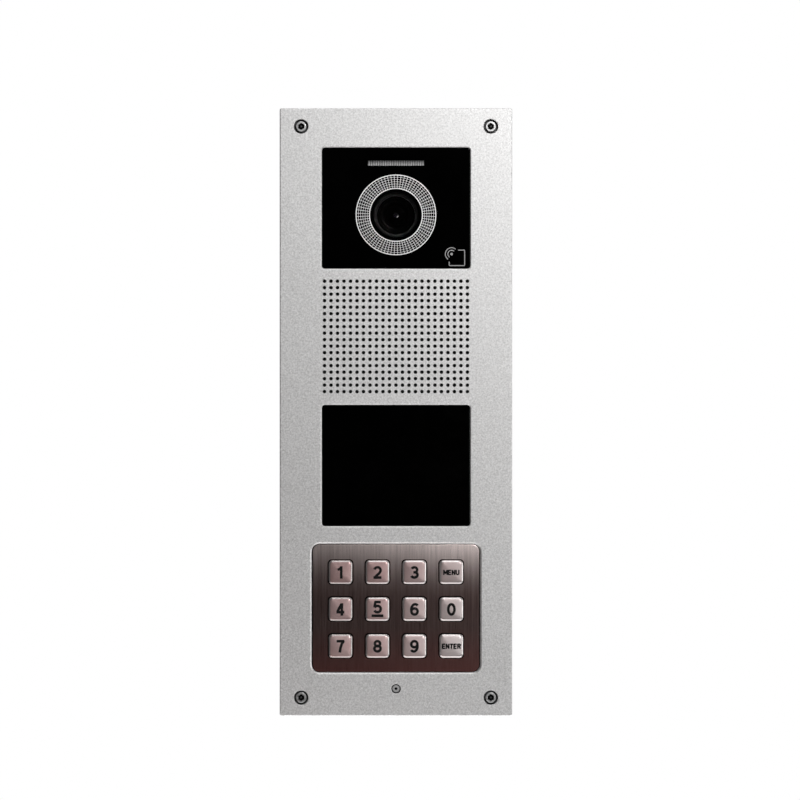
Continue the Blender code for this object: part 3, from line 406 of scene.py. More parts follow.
def plainMetal(name, low, high, rough, line, stretch=(1, 1, 1), bump=(0.10, 0.02)):
    made = Finish(name, Metallic=1.0)
    lines = made.noise(line, 3.0, stretch)
    made.colours(made.remap(lines), low, high)
    return made.surface(lines, rough, bump)


def plainSolid(name, low, high, rough, grain, strength=0.2, depth=0.03, coarser=14, **values):
    made = Finish(name, **values)
    cloud, fine = made.noise(coarser * grain), made.noise(grain, 3.0)
    made.colours(made.remap(made.mean(cloud, fine)), low, high)
    return made.surface(cloud, rough, (strength, depth), fine)


def foamGrey():
    k = named(dict(pore=0.55, span=(0.1, 0.6), low=0.050, high=0.095, rough=(0.98, 0.85), bump=(0.6, 0.15)))
    made = Finish("closedFoam")
    inputs = {"Vector": made.place, "Scale": 1 / (k.pore * mm)}
    pores = made.add("ShaderNodeTexVoronoi", inputs, feature="F1").outputs["Distance"]
    made.colours(made.remap(pores, 0.0, 1.0, *k.span), k.low, k.high)
    return made.surface(pores, k.rough + k.span, k.bump)


def wovenMesh():
    # factor is the wave node's own
    k = named(dict(thread=0.45, factor=20, low=0.004, high=0.030, bump=(0.7, 0.1)))
    made = Finish("wovenMesh", Roughness=0.85)
    inputs = {"Vector": made.place, "Scale": 2 * math.pi / (k.factor * k.thread * mm), "Distortion": 0.0}
    waves = [made.add("ShaderNodeTexWave", inputs, bands_direction=way).outputs["Fac"] for way in ("X", "Z")]
    weave = made.maths(*waves, "MAXIMUM")
    made.colours(weave, k.low, k.high)
    made.bump(weave, *k.bump)
    return made.material


def circuitGreen():
    k = named(dict(lane=160.0, mortar=0.03, cloud=9, grain=0.8, low=(0.012, 0.085, 0.035),
                   high=(0.030, 0.160, 0.065), rough=(0.32, 0.48), bump=(0.25, 0.05)))
    made = Finish("circuitBoard")
    inputs = {"Vector": made.place, "Scale": k.lane, "Mortar Size": k.mortar}
    tracks = made.add("ShaderNodeTexBrick", inputs).outputs["Fac"]
    lanes = made.maths(tracks, made.remap(made.noise(k.cloud)))
    made.colours(lanes, k.low, k.high)
    return made.surface(made.noise(k.grain), k.rough, k.bump, lanes)


def clearPane():
    k = named(dict(cloud=6, low=0.80, high=0.86))
    made = Finish("clearPane", Transmission_Weight=1.0, IOR=1.45, Roughness=0.0)
    made.colours(made.remap(made.noise(k.cloud, 3.0)), k.low, k.high)
    return made.material


def frostedClear():  # painted shade: darker between its ribs and towards its top
    k = named(dict(low=0.52, high=0.74, shade=0.02, valley=0.05, frost=0.3, patch=3, rough=(0.18, 0.34),
                   bump=(0.10, 0.02), valleySpan=(0.0, 0.75, 0.2, 1.0), topGrade=(-0.3, 0.5, 0.0, 0.9)))
    made = Finish("frostedClear", Transmission_Weight=0.25, IOR=1.46, Specular_IOR_Level=0.2)
    pale = made.colours(made.remap(made.noise(k.patch)), k.low, k.high)
    turn = made.maths(made.axis("X"), 2 * math.pi * lightLook["ribs"] / lightLook["wide"])
    valley = made.remap(made.maths(turn, 0.0, "COSINE"), *k.valleySpan)
    ribbed = made.colours(valley, pale, k.valley)
    made.colours(made.upwards(light, *k.topGrade), ribbed, k.shade)
    return made.surface(made.noise(k.frost, 3.0), k.rough, k.bump)


def lensGlass():
    k = named(dict(cloud=5, low=(0.004, 0.004, 0.010), high=(0.010, 0.006, 0.016), rough=(0.02, 0.05)))
    made = Finish("lensGlass", Coat_Weight=1.0, Coat_Roughness=0.02, Coat_IOR=1.8, IOR=1.9)
    tint = made.noise(k.cloud)
    made.colours(made.remap(tint), k.low, k.high)
    made.feed("Roughness", made.remap(tint, *k.rough))
    return made.material


# the fill light's sizes stand here because its finish follows the ribs
lightLook = lengths(wide=37.4, ribDeep=0.45, tabThick=1.5) | {"ribs": 24, "ribSteps": 6}
aluminium, brushed, keySteel, keyEdge = blastedAluminium(), darkBrushedSteel(), keyMetal(), keyBevel()
screwSteel = plainMetal("screwSteel", 0.58, 0.80, (0.26, 0.40), 0.3)
# painted shade, for the insides of the screw sockets
paintedShadeSocket = plainMetal("paintedShadeSocket", 0.004, 0.010, (0.50, 0.65), 0.4)
tinPlate = plainMetal("tinPlate", 0.52, 0.68, (0.20, 0.34), 0.6, (1, 1, 0.1))
goldPlate = plainMetal("goldPlate", (0.70, 0.48, 0.16), (0.85, 0.62, 0.25), (0.2, 0.3), 0.5)
# painted shade, for recesses and the ends of socket pins
paintedShadeMetal = plainMetal("paintedShadeMetal", 0.05, 0.10, (0.45, 0.60), 0.5)
blackPane = plainSolid("blackPane", 0.0002, 0.0005, (0.03, 0.07), 0.9, 0.01)
silverInk = plainSolid("silverInk", 0.84, 0.95, (0.42, 0.55), 0.3, 0.1, Metallic=0.6)
markInk = plainSolid("markInk", 0.36, 0.46, (0.45, 0.60), 0.3, 0.1)
keyInk = plainSolid("keyInk", 0.003, 0.006, (0.60, 0.75), 0.2, 0.1, Specular_IOR_Level=0.15)
# black for the lens's blackened rim and the hood's matt parts, and painted shade in gaps and holes
blackEdgeAndPaintedShade = plainSolid("blackEdgeAndPaintedShade", 0.0005, 0.001, (0.80, 0.92), 0.3, 0.1, Specular_IOR_Level=0.02)
hoodBlack = plainSolid("hoodBlack", 0.0010, 0.002, (0.20, 0.27), 0.4, 0.03, Specular_IOR_Level=0.14)
blackPlastic = plainSolid("blackPlastic", 0.013, 0.026, (0.42, 0.60), 0.35, 0.3)
blackRubber = plainSolid("blackRubber", 0.010, 0.020, (0.70, 0.88), 0.3, 0.3)
greyRubber = plainSolid("greyRubber", 0.34, 0.46, (0.50, 0.68), 0.25, 0.25)
silicone = plainSolid("silicone", 0.44, 0.56, (0.48, 0.62), 0.4)
ferrite = plainSolid("ferrite", 0.035, 0.065, (0.50, 0.70), 0.4, 0.4)
terminalGreen = plainSolid("terminalGreen", (0.012, 0.17, 0.05), (0.024, 0.25, 0.085), (0.38, 0.52), 0.4)
displayGlass = plainSolid("displayGlass", 0.022, 0.036, (0.06, 0.14), 0.6, 0.02)
paperCone = plainSolid("paperCone", 0.022, 0.045, (0.80, 0.95), 0.35, 0.5)
foam, mesh, board = foamGrey(), wovenMesh(), circuitGreen()
paneClear, frosted, lensCoat = clearPane(), frostedClear(), lensGlass()
print("finishes made")

# front panel: rounded edge, window and keypad openings, drilled grille, posts behind
panelLook = lengths(
    corner=1.5, edge=0.7, rearEdge=0.3, lip=2, lipThick=1.7, windowCorner=2.2, windowRim=0.6,
    plateCorner=5, plateRim=0.9, screwRecess=9.6, screwRim=0.25, screwFloor=2.9, shankHole=4.6,
    micPort=6.3, micRim=0.25, tapped=3.6, holePitch=4.33, hole=2.4, holeRim=0.08,
    post=5, postMargin=1, postEdge=0.4, shelfCorner=0.6, wayCorner=2.5, boreFrom=0.3, boreReach=0.1,
) | {"columns": 23, "rows": 18, "holeSides": 20, "around": 5}


def makePanel():
    k = named(panelLook)
    behind = panelRear + past
    rows = softBlock(panel.wide, panel.tall, k.corner, panel.front, panelRear, k.edge, k.rearEdge, k.around)
    body = lofted("panel_metal", rows, panel)
    posts = bmesh.new()
    post = [(k.post, panelRear - past)] + turnedEdge(k.post, panel.rear, k.postEdge, -1)[::-1]
    x, z = membrane.wide / 2 - k.post / 2, membrane.tall / 2 + k.post / 2 + k.postMargin
    for sx, sz in quarters:
        loft(posts, turned(post, fewSides), place(sx * x, membrane.z + sz * z))
    carve(body, posts, "UNION")

    cuts = bmesh.new()
    ledge = panelRear - k.lipThick - gap
    for at in windows.values():
        wide, tall = at.wide - 2 * k.lip, at.tall - 2 * k.lip
        rebate = outline(at.wide + 2 * gap, at.tall + 2 * gap, k.windowCorner + k.lip)
        rows = mouth(wide, tall, k.windowCorner, panel.front, k.windowRim, ledge)
        loft(cuts, rows + slab(rebate, ledge, behind), at)
    wide, tall, floor = plate.wide + 2 * gap, plate.tall + 2 * gap, plate.rear + gap
    loft(cuts, mouth(wide, tall, k.plateCorner + gap, panel.front, k.plateRim, floor), plate)
    for at in panelScrews:
        floor = at.front + k.screwFloor
        rows = roundMouth(k.screwRecess, panel.front, k.screwRim, floor)
        loft(cuts, rows + drum(k.shankHole, floor, behind), at)
    loft(cuts, roundMouth(k.micPort, panel.front, k.micRim, behind), mic)
    for at in coverScrews:
        loft(cuts, drum(k.tapped, at.front - gap, behind, fewSides), at)
    shelf = outline(dust.wide + 2 * gap, dust.tall + 2 * gap, k.shelfCorner)
    loft(cuts, slab(shelf, dust.front - gap, behind), dust)
    carve(body, cuts)
    way = outline(membrane.wide, membrane.tall, k.wayCorner)
    carveOne(body, slab(way, plate.rear - past, behind), membrane)

    drill = bmesh.new()
    hole = roundMouth(k.hole, panel.front, k.holeRim, behind, k.holeSides)
    for i in range(k.columns):
        for j in range(k.rows):
            x, z = (i - (k.columns - 1) / 2) * k.holePitch, (j - (k.rows - 1) / 2) * k.holePitch
            loft(drill, hole, place(dust.x + x, dust.z + z))
    carve(body, drill)
    dress(body, aluminium, ["front_panel"])
    # painted shade: darker metal on the walls and floors of the screw recesses and the microphone port
    deep = panel.front + k.boreFrom
    paintedShadeBores = [(at, k.screwRecess / 2 + k.boreReach) for at in panelScrews]
    paintedShadeBores.append((mic, k.micPort / 2 + k.boreReach))
    second(body, paintedShadeMetal, lambda face: face.center.y > deep and any(beside(face, *bore) for bore in paintedShadeBores))


makePanel()
print("panel made")

# camera and display windows, with the printed ring and the tag mark on the camera's
paneLook = lengths(edge=0.25, corner=1.9, lipCorner=4.2, clear=30, clearPlay=0.2, slotCorner=0.5)
paneLook |= {"sides": 96}
printLook = lengths(
    inner=17.65, outer=26.57, rim=0.62, hair=0.27, circle=0.20, thick=0.03, sunk=0.02,
    markDot=(37.1, 105.3), dot=1.8, markWaves=(2.5, 4.2), markLine=0.6,
    card=(35.5, 97.6, 45.8, 107.9), cardCorner=0.5, cardTop=4.3, cardLow=2.6,
) | {"lines": 72, "circles": 7, "waveSpan": (50, 235), "cornerSteps": 6}
paneFront = windows["camera"].front
inkRear = paneFront + printLook["sunk"]
inkFront = inkRear - printLook["thick"]


def paneRows(at):
    k = named(paneLook)
    lip, step = panelLook["lip"], panelRear - panelLook["lipThick"]
    face = roundOver(at.wide - 2 * lip - 2 * gap, at.tall - 2 * lip - 2 * gap, k.corner, at.front, k.edge)
    return face + [(face[-1][0], step)] + slab(outline(at.wide, at.tall, k.lipCorner), step, at.rear)


def makeWindows():
    k = named(paneLook)
    camera, display = windows["camera"], windows["display"]
    pane = lofted("camera_pane", paneRows(camera), camera)
    cuts = bmesh.new()
    slot = outline(lightLook["wide"] + 2 * gap, light.tall + 2 * gap, k.slotCorner)
    loft(cuts, slab(slot, paneFront - past, panelRear + past), light)
    loft(cuts, drum(k.clear + k.clearPlay, paneFront - past, panelRear + past, k.sides), lens)
    carve(pane, cuts)
    dress(pane, blackPane, ["camera_window"])
    disc = drum(k.clear, paneFront, camera.rear, k.sides)
    dress(lofted("camera_pane_clear", disc, lens), paneClear)
    dress(lofted("display_pane", paneRows(display), display), blackPane, ["display_window"])


def makeRing():
    k = named(printLook)
    pitch = (k.outer - k.inner) / (k.circles - 1)
    radii = []
    for i in range(k.circles):
        width = k.rim if i in (0, k.circles - 1) else k.circle
        radii += [k.inner + i * pitch - width / 2, k.inner + i * pitch + width / 2]
    bm = bmesh.new()
    layers = []
    for y in (inkFront, inkRear):
        layer = []
        for radius in radii:
            half = k.hair / 2 / radius
            turns = [2 * math.pi * (i + 0.5) / k.lines + side for i in range(k.lines)
                     for side in (-half, half)]
            points = [(radius * math.cos(a), y, lens.z + radius * math.sin(a)) for a in turns]
            layer.append([bm.verts.new(point) for point in points])
        layers.append(layer)
    front, rear = layers
    around = 2 * k.lines

    def inked(i, j):  # on a circle or on a line
        return 0 <= i < len(radii) - 1 and (i % 2 == 0 or j % 2 == 0)

    for i, j in ((i, j) for i in range(len(radii) - 1) for j in range(around) if inked(i, j)):
        n = (j + 1) % around
        corners = ((i, j), (i, n), (i + 1, n), (i + 1, j))
        for layer in layers:
            bm.faces.new([layer[a][b] for a, b in corners])
        beyond = ((i - 1, j), (i, n), (i + 1, j), (i, j - 1))
        for (a, b), (c, d), cell in zip(corners, corners[1:] + corners[:1], beyond):
            if not inked(*cell):  # a side wall where the ink ends
                bm.faces.new((front[a][b], front[c][d], rear[c][d], rear[a][b]))
    dress(asObject("ring_print", bm), silverInk)


def makeTagMark():
    k = named(printLook)
    x, z = k.markDot
    left, low, right, high = k.card
    inset = k.cardCorner
    bm = bmesh.new()
    loft(bm, drum(k.dot, inkFront, inkRear, fewSides), place(x, z))
    for radius in k.markWaves:
        stroke(bm, arc(x, z, radius, *k.waveSpan), k.markLine, inkFront, inkRear)
    card = [(x + k.cardTop, high)]
    for cx, cz, turn in ((right - inset, high - inset, 90), (right - inset, low + inset, 0),
                         (left + inset, low + inset, -90)):
        card += arc(cx, cz, inset, turn, turn - 90, steps=k.cornerSteps)
    stroke(bm, card + [(left, low + k.cardLow)], k.markLine, inkFront, inkRear)
    dress(asObject("tag_mark_print", bm), markInk)


# fill light: rounded upright ribs between two tabs
def makeLight():
    k = named(lightLook)
    half, tab, behind = k.wide / 2, light.wide / 2, light.rear - k.tabThick
    pitch = k.wide / k.ribs
    line = [(-tab, light.rear), (-tab, behind), (-half, behind)]
    for rib in range(k.ribs):
        for share in (step / k.ribSteps for step in range(k.ribSteps)):
            y = light.front + k.ribDeep * (1 - math.sin(math.pi * share))
            line.append((-half + (rib + share) * pitch, y))
    line += [(half, light.front + k.ribDeep), (half, behind), (tab, behind), (tab, light.rear)]
    bm = bmesh.new()
    prism(bm, [[(x, y, light.z + side * light.tall / 2) for x, y in line] for side in (-1, 1)])
    dress(asObject("light_lens_ribbed", bm), frosted, ["fill_light_lens"])


makeWindows()
makeRing()
makeTagMark()
makeLight()
print("windows, prints and light made")

# camera: domed lens in a stepped conical hood, in a round holder
cameraLook = lengths(
    mouth=22, hoodDeep=3.6, pocket=13.6, crown=1.8, clear=3.7, ledge=(17.4, 19.8), ledgeDeep=1.9, lip=1.0,
    seat=19, wall=1.6, baseThick=2.4, baseCorner=3, edge=0.4,
) | {"slope": 0.22, "sides": 64, "domeSteps": 14}
barrel, holder = spot("lens_barrel"), spot("camera_shroud")


def makeCamera():
    k = named(cameraLook)
    lensFront = barrel.front + k.hoodDeep
    shares = [i / k.domeSteps for i in range(1, k.domeSteps + 1)]
    dome = [(lens.wide * share, lensFront - k.crown * (1 - share ** 2)) for share in shares]
    glass = lofted("lens_dome", turned(dome + [(lens.wide, lens.rear)], k.sides), lens)
    dress(glass, lensCoat, ["lens_element"], sharp=60)
    second(glass, blackEdgeAndPaintedShade, lambda face: not beside(face, lens, k.clear / 2))  # the rim is blackened

    shoulder = holder.rear - k.baseThick - gap
    ledge, (inner, outer) = barrel.front + k.ledgeDeep, k.ledge
    profile = [(k.pocket, lens.rear + gap), (k.pocket, lensFront), (inner, ledge)]
    profile += [(outer, ledge - k.slope * (outer - inner) / 2)]  # a sloped ledge, and another at the mouth
    profile += [(k.mouth, barrel.front + k.slope * k.lip / 2), (k.mouth + k.lip, barrel.front)]
    profile += turnedEdge(barrel.wide, barrel.front, k.edge)
    profile += [(barrel.wide, shoulder), (k.seat, shoulder), (k.seat, barrel.rear)]
    hood = lofted("lens_barrel_hood", turned(profile, k.sides), lens)
    dress(hood, hoodBlack, ["lens_barrel"], sharp=15)
    shiny = (k.ledge, (k.mouth, k.mouth + k.lip))  # the rest of the hood is matt
    second(hood, blackEdgeAndPaintedShade, lambda face: not any(
        beside(face, lens, high / 2) and not beside(face, lens, low / 2) for low, high in shiny))

    bore, floor = barrel.wide + 2 * gap, shoulder + gap
    outside, seat = bore + 2 * k.wall, k.seat + 2 * gap
    base = outline(holder.wide, holder.tall, k.baseCorner, k.sides // 4 - 1)  # k.sides points in all
    rows = turned(turnedEdge(outside, holder.front, k.edge) + [(outside, floor)], k.sides)
    rows += slab(base, floor, holder.rear)
    rows += turned(((seat, holder.rear), (seat, floor), (bore, floor), (bore, holder.front)), k.sides)
    dress(lofted("lens_holder", rows, lens, hollow=True), blackPlastic, ["camera_shroud"])


makeCamera()
print("camera made")

# keypad: brushed plate whose edges are black as painted shade, crowned metal keys with inked marks
plateLook = lengths(corner=5, edge=0.8, rearEdge=0.2, hole=17.2, holeCorner=2.9, holeRim=0.18, holeEdge=1)
plateLook |= {"facing": 0.97}
keyLook = lengths(
    cap=15.8, corner=2.5, edge=1.2, deep=1.0, lipThick=1.2, lipCorner=2.5, crown=0.35, bendStop=0.1,
    lipEdge=0.05,
) | {"flat": 1.5, "facing": 0.93, "edgeSteps": 8, "faceShares": (0.1, 0.25, 0.4, 0.55, 0.7, 0.85)}
inkLook = lengths(proud=0.03, sunk=0.12, finest=1.0)
inkLook |= {"digitLine": 1.75, "digitTall": 1.06, "wordLine": 0.95, "wordTall": 0.88, "rounds": 3}

# centre lines of the marks in millimetres, about each mark's middle
digitLines = {
    "1": [[(0.45, 3.9), (0.45, -3.9)], [(0.45, 3.2), (-0.35, 2.3), (-1.7, 1.6)]],
    "2": [arc(0, 1.35, 1.95, 165, -25, 1.87) + [(0.9, -0.75), (-0.6, -2.0), (-1.5, -3.0)],
          [(-2.55, -3.22), (2.5, -3.22)]],
    "3": [arc(-0.05, 1.55, 1.75, 155, -80, 1.67), arc(-0.05, -1.5, 2.0, 85, -158, 1.72),
          [(-0.7, 0.08), (0.4, 0.08)]],
    "4": [[(0.85, 3.9), (0.85, -3.9)], [(0.6, 3.4), (-2.0, -1.6)], [(-2.6, -1.75), (2.4, -1.75)]],
    "5": [[(2.1, 4.62), (-1.6, 4.62)], [(-1.25, 5.0), (-1.85, 1.25)], arc(0, 0.2, 2.05, 150, -155, 2.02),
          [(-3.7, -4.0), (3.7, -4.0)]],
    "6": [arc(0.05, -1.3, 1.95, 0, 360, 1.92), arc(0.45, -0.2, 2.4, 205, 48, 3.42)],
    "7": [[(-2.45, 3.22), (2.4, 3.22)], [(2.1, 3.4), (0.9, 1.6), (0.0, -0.9), (-0.5, -3.9)]],
    "8": [arc(0, 1.62, 1.65, 0, 360, 1.6), arc(0, -1.45, 1.95, 0, 360, 1.77)],
    "9": [arc(-0.05, 1.3, 1.95, 0, 360, 1.92), arc(-0.45, 0.2, 2.4, 25, -132, 3.42)],
    "0": [arc(0, 0, 1.95, 0, 360, 3.22, 36)],
}
letterLines = {  # with the width that each letter takes
    "M": (3.1, [[(-1.1, 1.95), (-1.1, -1.95)], [(1.1, 1.95), (1.1, -1.95)], [(-1.1, 1.75), (0.08, -1.1)],
                [(1.1, 1.75), (-0.08, -1.1)]]),
    "E": (2.45, [[(-0.75, 1.95), (-0.75, -1.95)], [(-0.8, 1.575), (1.0, 1.575)], [(-0.8, 0.05), (0.85, 0.05)],
                 [(-0.8, -1.575), (1.0, -1.575)]]),
    "N": (2.7, [[(-0.85, 1.95), (-0.85, -1.95)], [(0.85, 1.95), (0.85, -1.95)],
                [(-0.85, 1.7), (0.85, -1.7)]]),
    "U": (2.7, [[(-0.85, 1.95)] + arc(0, -0.72, 0.85, 180, 360) + [(0.85, 1.95)]]),
    "T": (2.5, [[(0, 1.6), (0, -1.95)], [(-1.15, 1.575), (1.15, 1.575)]]),
    "R": (2.6, [[(-0.75, 1.95), (-0.75, -1.95)],
                [(-0.8, 1.575)] + arc(0.2, 0.85, 0.75, 90, -90, 0.725) + [(-0.8, 0.125)],
                [(0.1, 0.1), (1.0, -1.95)]]),
}


def inkLines(name):  # (centre line, width) pairs in millimetres
    k = named(inkLook)
    if name.isdigit():
        grown = [[(px * k.digitTall, pz * k.digitTall) for px, pz in line] for line in digitLines[name]]
        return [(line, k.digitLine) for line in grown]
    letters = [letterLines[letter] for letter in name.upper()]
    x, lines = -sum(step for step, _ in letters) / 2, []
    for step, strokes in letters:
        middle = x + step / 2
        lines += [([(middle + px, pz * k.wordTall) for px, pz in line], k.wordLine) for line in strokes]
        x += step
    return lines


def crowned(shape, at, until):  # bends the front of a key or its mark over the crown
    reach = keyLook["cap"] ** 2 / 2
    for v in shape.vertices:
        if v.co.y < until:
            v.co.y += keyLook["crown"] * ((v.co.x - at.x) ** 2 + (v.co.z - at.z) ** 2) / reach


def inkMark(name, at):
    k = named(inkLook)
    made = None
    for line, width in inkLines(name):
        bm = bmesh.new()
        points = [(at.x + px * mm, at.z + pz * mm) for px, pz in line]
        stroke(bm, points, width * mm, at.front - k.proud, at.front + k.sunk)
        if made is None:
            made = asObject("mark_" + name, bm)
        else:
            carve(made, bm, "UNION")
    bm = bmesh.new()
    bm.from_mesh(made.data)
    for _ in range(k.rounds):  # short edges, so that the ink can follow the crown
        bmesh.ops.triangulate(bm, faces=bm.faces, ngon_method="BEAUTY")
        coarse = [edge for edge in bm.edges if edge.calc_length() > k.finest]
        bmesh.ops.subdivide_edges(bm, edges=coarse, cuts=1)
    bmesh.ops.triangulate(bm, faces=bm.faces, ngon_method="BEAUTY")
    bm.to_mesh(made.data)
    bm.free()
    crowned(made.data, at, at.rear)
    return made


def makeKey(name, at):
    k = named(keyLook)
    body, lipFront, top = "key_" + name, at.rear - k.lipThick, k.cap - 2 * k.edge
    sizes = [(top * share, (k.corner - k.edge) * share) for share in k.faceShares]
    rows = [(outline(size, size, corner), at.front) for size, corner in sizes]
    rows += roundOver(k.cap, k.cap, k.corner, at.front, k.edge, steps=k.edgeSteps, deep=k.deep, flat=k.flat)
    rows += [(rows[-1][0], lipFront)] + slab(outline(at.wide, at.tall, k.lipCorner), lipFront, at.rear)
    cap = lofted("cap_" + name, rows, at)
    crowned(cap.data, at, lipFront - k.bendStop)
    dress(cap, keySteel, [body], body)
    second(cap, keyEdge, lambda face: face.normal.y > -k.facing)
    second(cap, blackEdgeAndPaintedShade, lambda face: face.center.y > lipFront - k.lipEdge)  # painted shade: the lip under the plate is black, so the gap round the key reads dark
    dress(inkMark(name, at), keyInk, body=body)


def makeKeypad():
    k = named(plateLook)
    rows = softBlock(plate.wide, plate.tall, k.corner, plate.front, plate.rear, k.edge, k.rearEdge)
    sheet = lofted("keypad_plate_brushed", rows, plate)
    keys = {name: spot("key_" + name) for name in keyNames}
    holes = bmesh.new()
    for at in keys.values():
        loft(holes, mouth(k.hole, k.hole, k.holeCorner, plate.front, k.holeRim, plate.rear + past), at)
    carve(sheet, holes)
    dress(sheet, brushed, ["keypad_plate"])
    inHole = k.hole / 2 + k.holeEdge
    # painted shade: the plate's outer edges are black, for the shadowed gap round it
    second(sheet, blackEdgeAndPaintedShade, lambda face: face.normal.y > -k.facing and not any(
        max(abs(face.center.x - at.x), abs(face.center.z - at.z)) < inHole for at in keys.values()))
    for name, at in keys.items():
        makeKey(name, at)


makeKeypad()
print("keypad made")

# rubber membrane: a sheet with one dome behind each key
domeLook = lengths(tall=2.5, top=7, base=12, topEdge=0.5, neck=(0.6, 1.0), foot=(1.6, 0.5), rise=0.02,
                   sheetCorner=1.2, sheetEdge=0.25) | {"keep": 0.5, "sides": 32}


def makeMembrane():
    k = named(domeLook)
    front = membrane.front + k.tall
    rows = softBlock(membrane.wide, membrane.tall, k.sheetCorner, front, membrane.rear, k.sheetEdge)
    dress(lofted("membrane_sheet", rows, membrane), silicone, ["keypad_membrane"])
    profile = turnedEdge(k.top, membrane.front, k.topEdge)
    profile += [(k.top + k.neck[0], membrane.front + k.neck[1]), (k.base - k.foot[0], front - k.foot[1])]
    profile += [(k.base, front - k.rise)]
    for name in keyNames:
        at = spot("key_" + name)
        dome = lofted("dome_" + name, turned(profile, k.sides), at)
        dress(dome, silicone)
        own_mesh(dome)


makeMembrane()
print("membrane made")

# pin-in-socket screws at the corners, their retainers, and the microphone bush
screwLook = lengths(
    headTall=2.6, shank=4, edge=0.35, socket=4.6, socketDeep=1.5, socketWider=0.5, socketOver=0.1,
    socketRim=0.15,
    pin=1.3, pinEdge=0.2, pinSunk=0.2, pinRoot=0.3, pitch=0.7, thread=0.35, tip=0.5, collarEdge=0.3,
    darkReach=0.05, darkFrom=0.16, pinFace=0.3,
) | {"crest": 0.2, "root": 0.6}


def makePanelScrews():
    k = named(screwLook)
    rootAcross = k.shank - 2 * k.thread
    for number, at in enumerate(panelScrews, 1):
        seat, deep = at.front + k.headTall, at.front + k.socketDeep
        profile = turnedEdge(at.wide, at.front, k.edge) + [(at.wide, seat), (k.shank, seat), (k.shank, 0.0)]
        y = 0.0
        while y + k.pitch < at.rear - k.tip:  # thread crests and roots
            profile += [(k.shank, y + k.crest * k.pitch), (rootAcross, y + k.root * k.pitch)]
            profile += [(k.shank, y + k.pitch)]
            y += k.pitch
        screw = lofted(f"corner_screw_{number}", turned(profile + [(rootAcross, at.rear)]), at)
        socket = [(k.socket + k.socketWider, at.front - k.socketOver)]
        socket += [(k.socket, at.front + k.socketRim), (k.socket, deep)]
        carveOne(screw, turned(socket, 6), at)
        pin = turnedEdge(k.pin, at.front + k.pinSunk, k.pinEdge) + [(k.pin, deep + k.pinRoot)]
        carveOne(screw, turned(pin, fewSides), at, "UNION")
        dress(screw, screwSteel, [f"panel_screw_{number}"])
        # painted shade: near-black metal inside the socket, with darker metal on the end of its pin
        inner, sunk, pinFace = k.socket / 2 + k.darkReach, at.front + k.darkFrom, at.front + k.pinFace
        second(screw, paintedShadeSocket, lambda face: face.center.y > sunk and beside(face, at, inner))
        second(screw, paintedShadeMetal, lambda face: sunk < face.center.y < pinFace and beside(face, at, k.pin / 2))
        collar = spot(f"screw_retainer_{number}")
        bore = k.shank + 2 * gap
        profile = turnedBlock(collar.wide, collar.front, collar.rear, k.collarEdge)
        profile += [(bore, collar.rear), (bore, collar.front)]
        dress(lofted(f"screw_collar_{number}", turned(profile), at, hollow=True), blackPlastic,
              [f"screw_retainer_{number}"])


micLook = lengths(nose=4.9, hole=1.8, edge=0.35, holeRim=0.2, darkReach=0.02)


def makeMicrophone():
    k = named(micLook)
    cupFront = panelRear + gap
    capsule = spot("mic_capsule")
    bore, floor = capsule.wide + 2 * gap, capsule.front - gap
    profile = [(k.hole, mic.front + k.holeRim), (k.hole + 2 * k.holeRim, mic.front)]
    profile += turnedEdge(k.nose, mic.front, k.edge) + [(k.nose, cupFront), (mic.wide, cupFront)]
    profile += [(mic.wide, mic.rear), (bore, mic.rear), (bore, floor), (k.hole, floor)]
    bush = lofted("mic_bush", turned(profile), mic, hollow=True)
    dress(bush, greyRubber, ["mic_grommet"])
    # painted shade: the walls of the pinhole are black
    second(bush, blackEdgeAndPaintedShade, lambda face: beside(face, mic, k.hole / 2 + k.darkReach))


makePanelScrews()
makeMicrophone()
print("screws and microphone made")

# speaker: stretched dust mesh, foam ring, basket with open sides, cone with a rolled edge, magnet
speakerLook = lengths(
    rim=4.5, flange=1.5, wall=1.4, base=34, bore=18, window=20, windowInset=2, windowCorner=1.0, edge=0.3,
    meshCorner=0.6, meshEdge=0.12, foamEdge=0.6, foamInner=0.5, throat=14, cap=2.5, coneDeep=8, paper=0.8,
    roll=6, rollTall=0.9, rollSeat=1.0, rollFoot=5, magnetEdge=0.8,
) | {"sides": 72, "steps": 6}


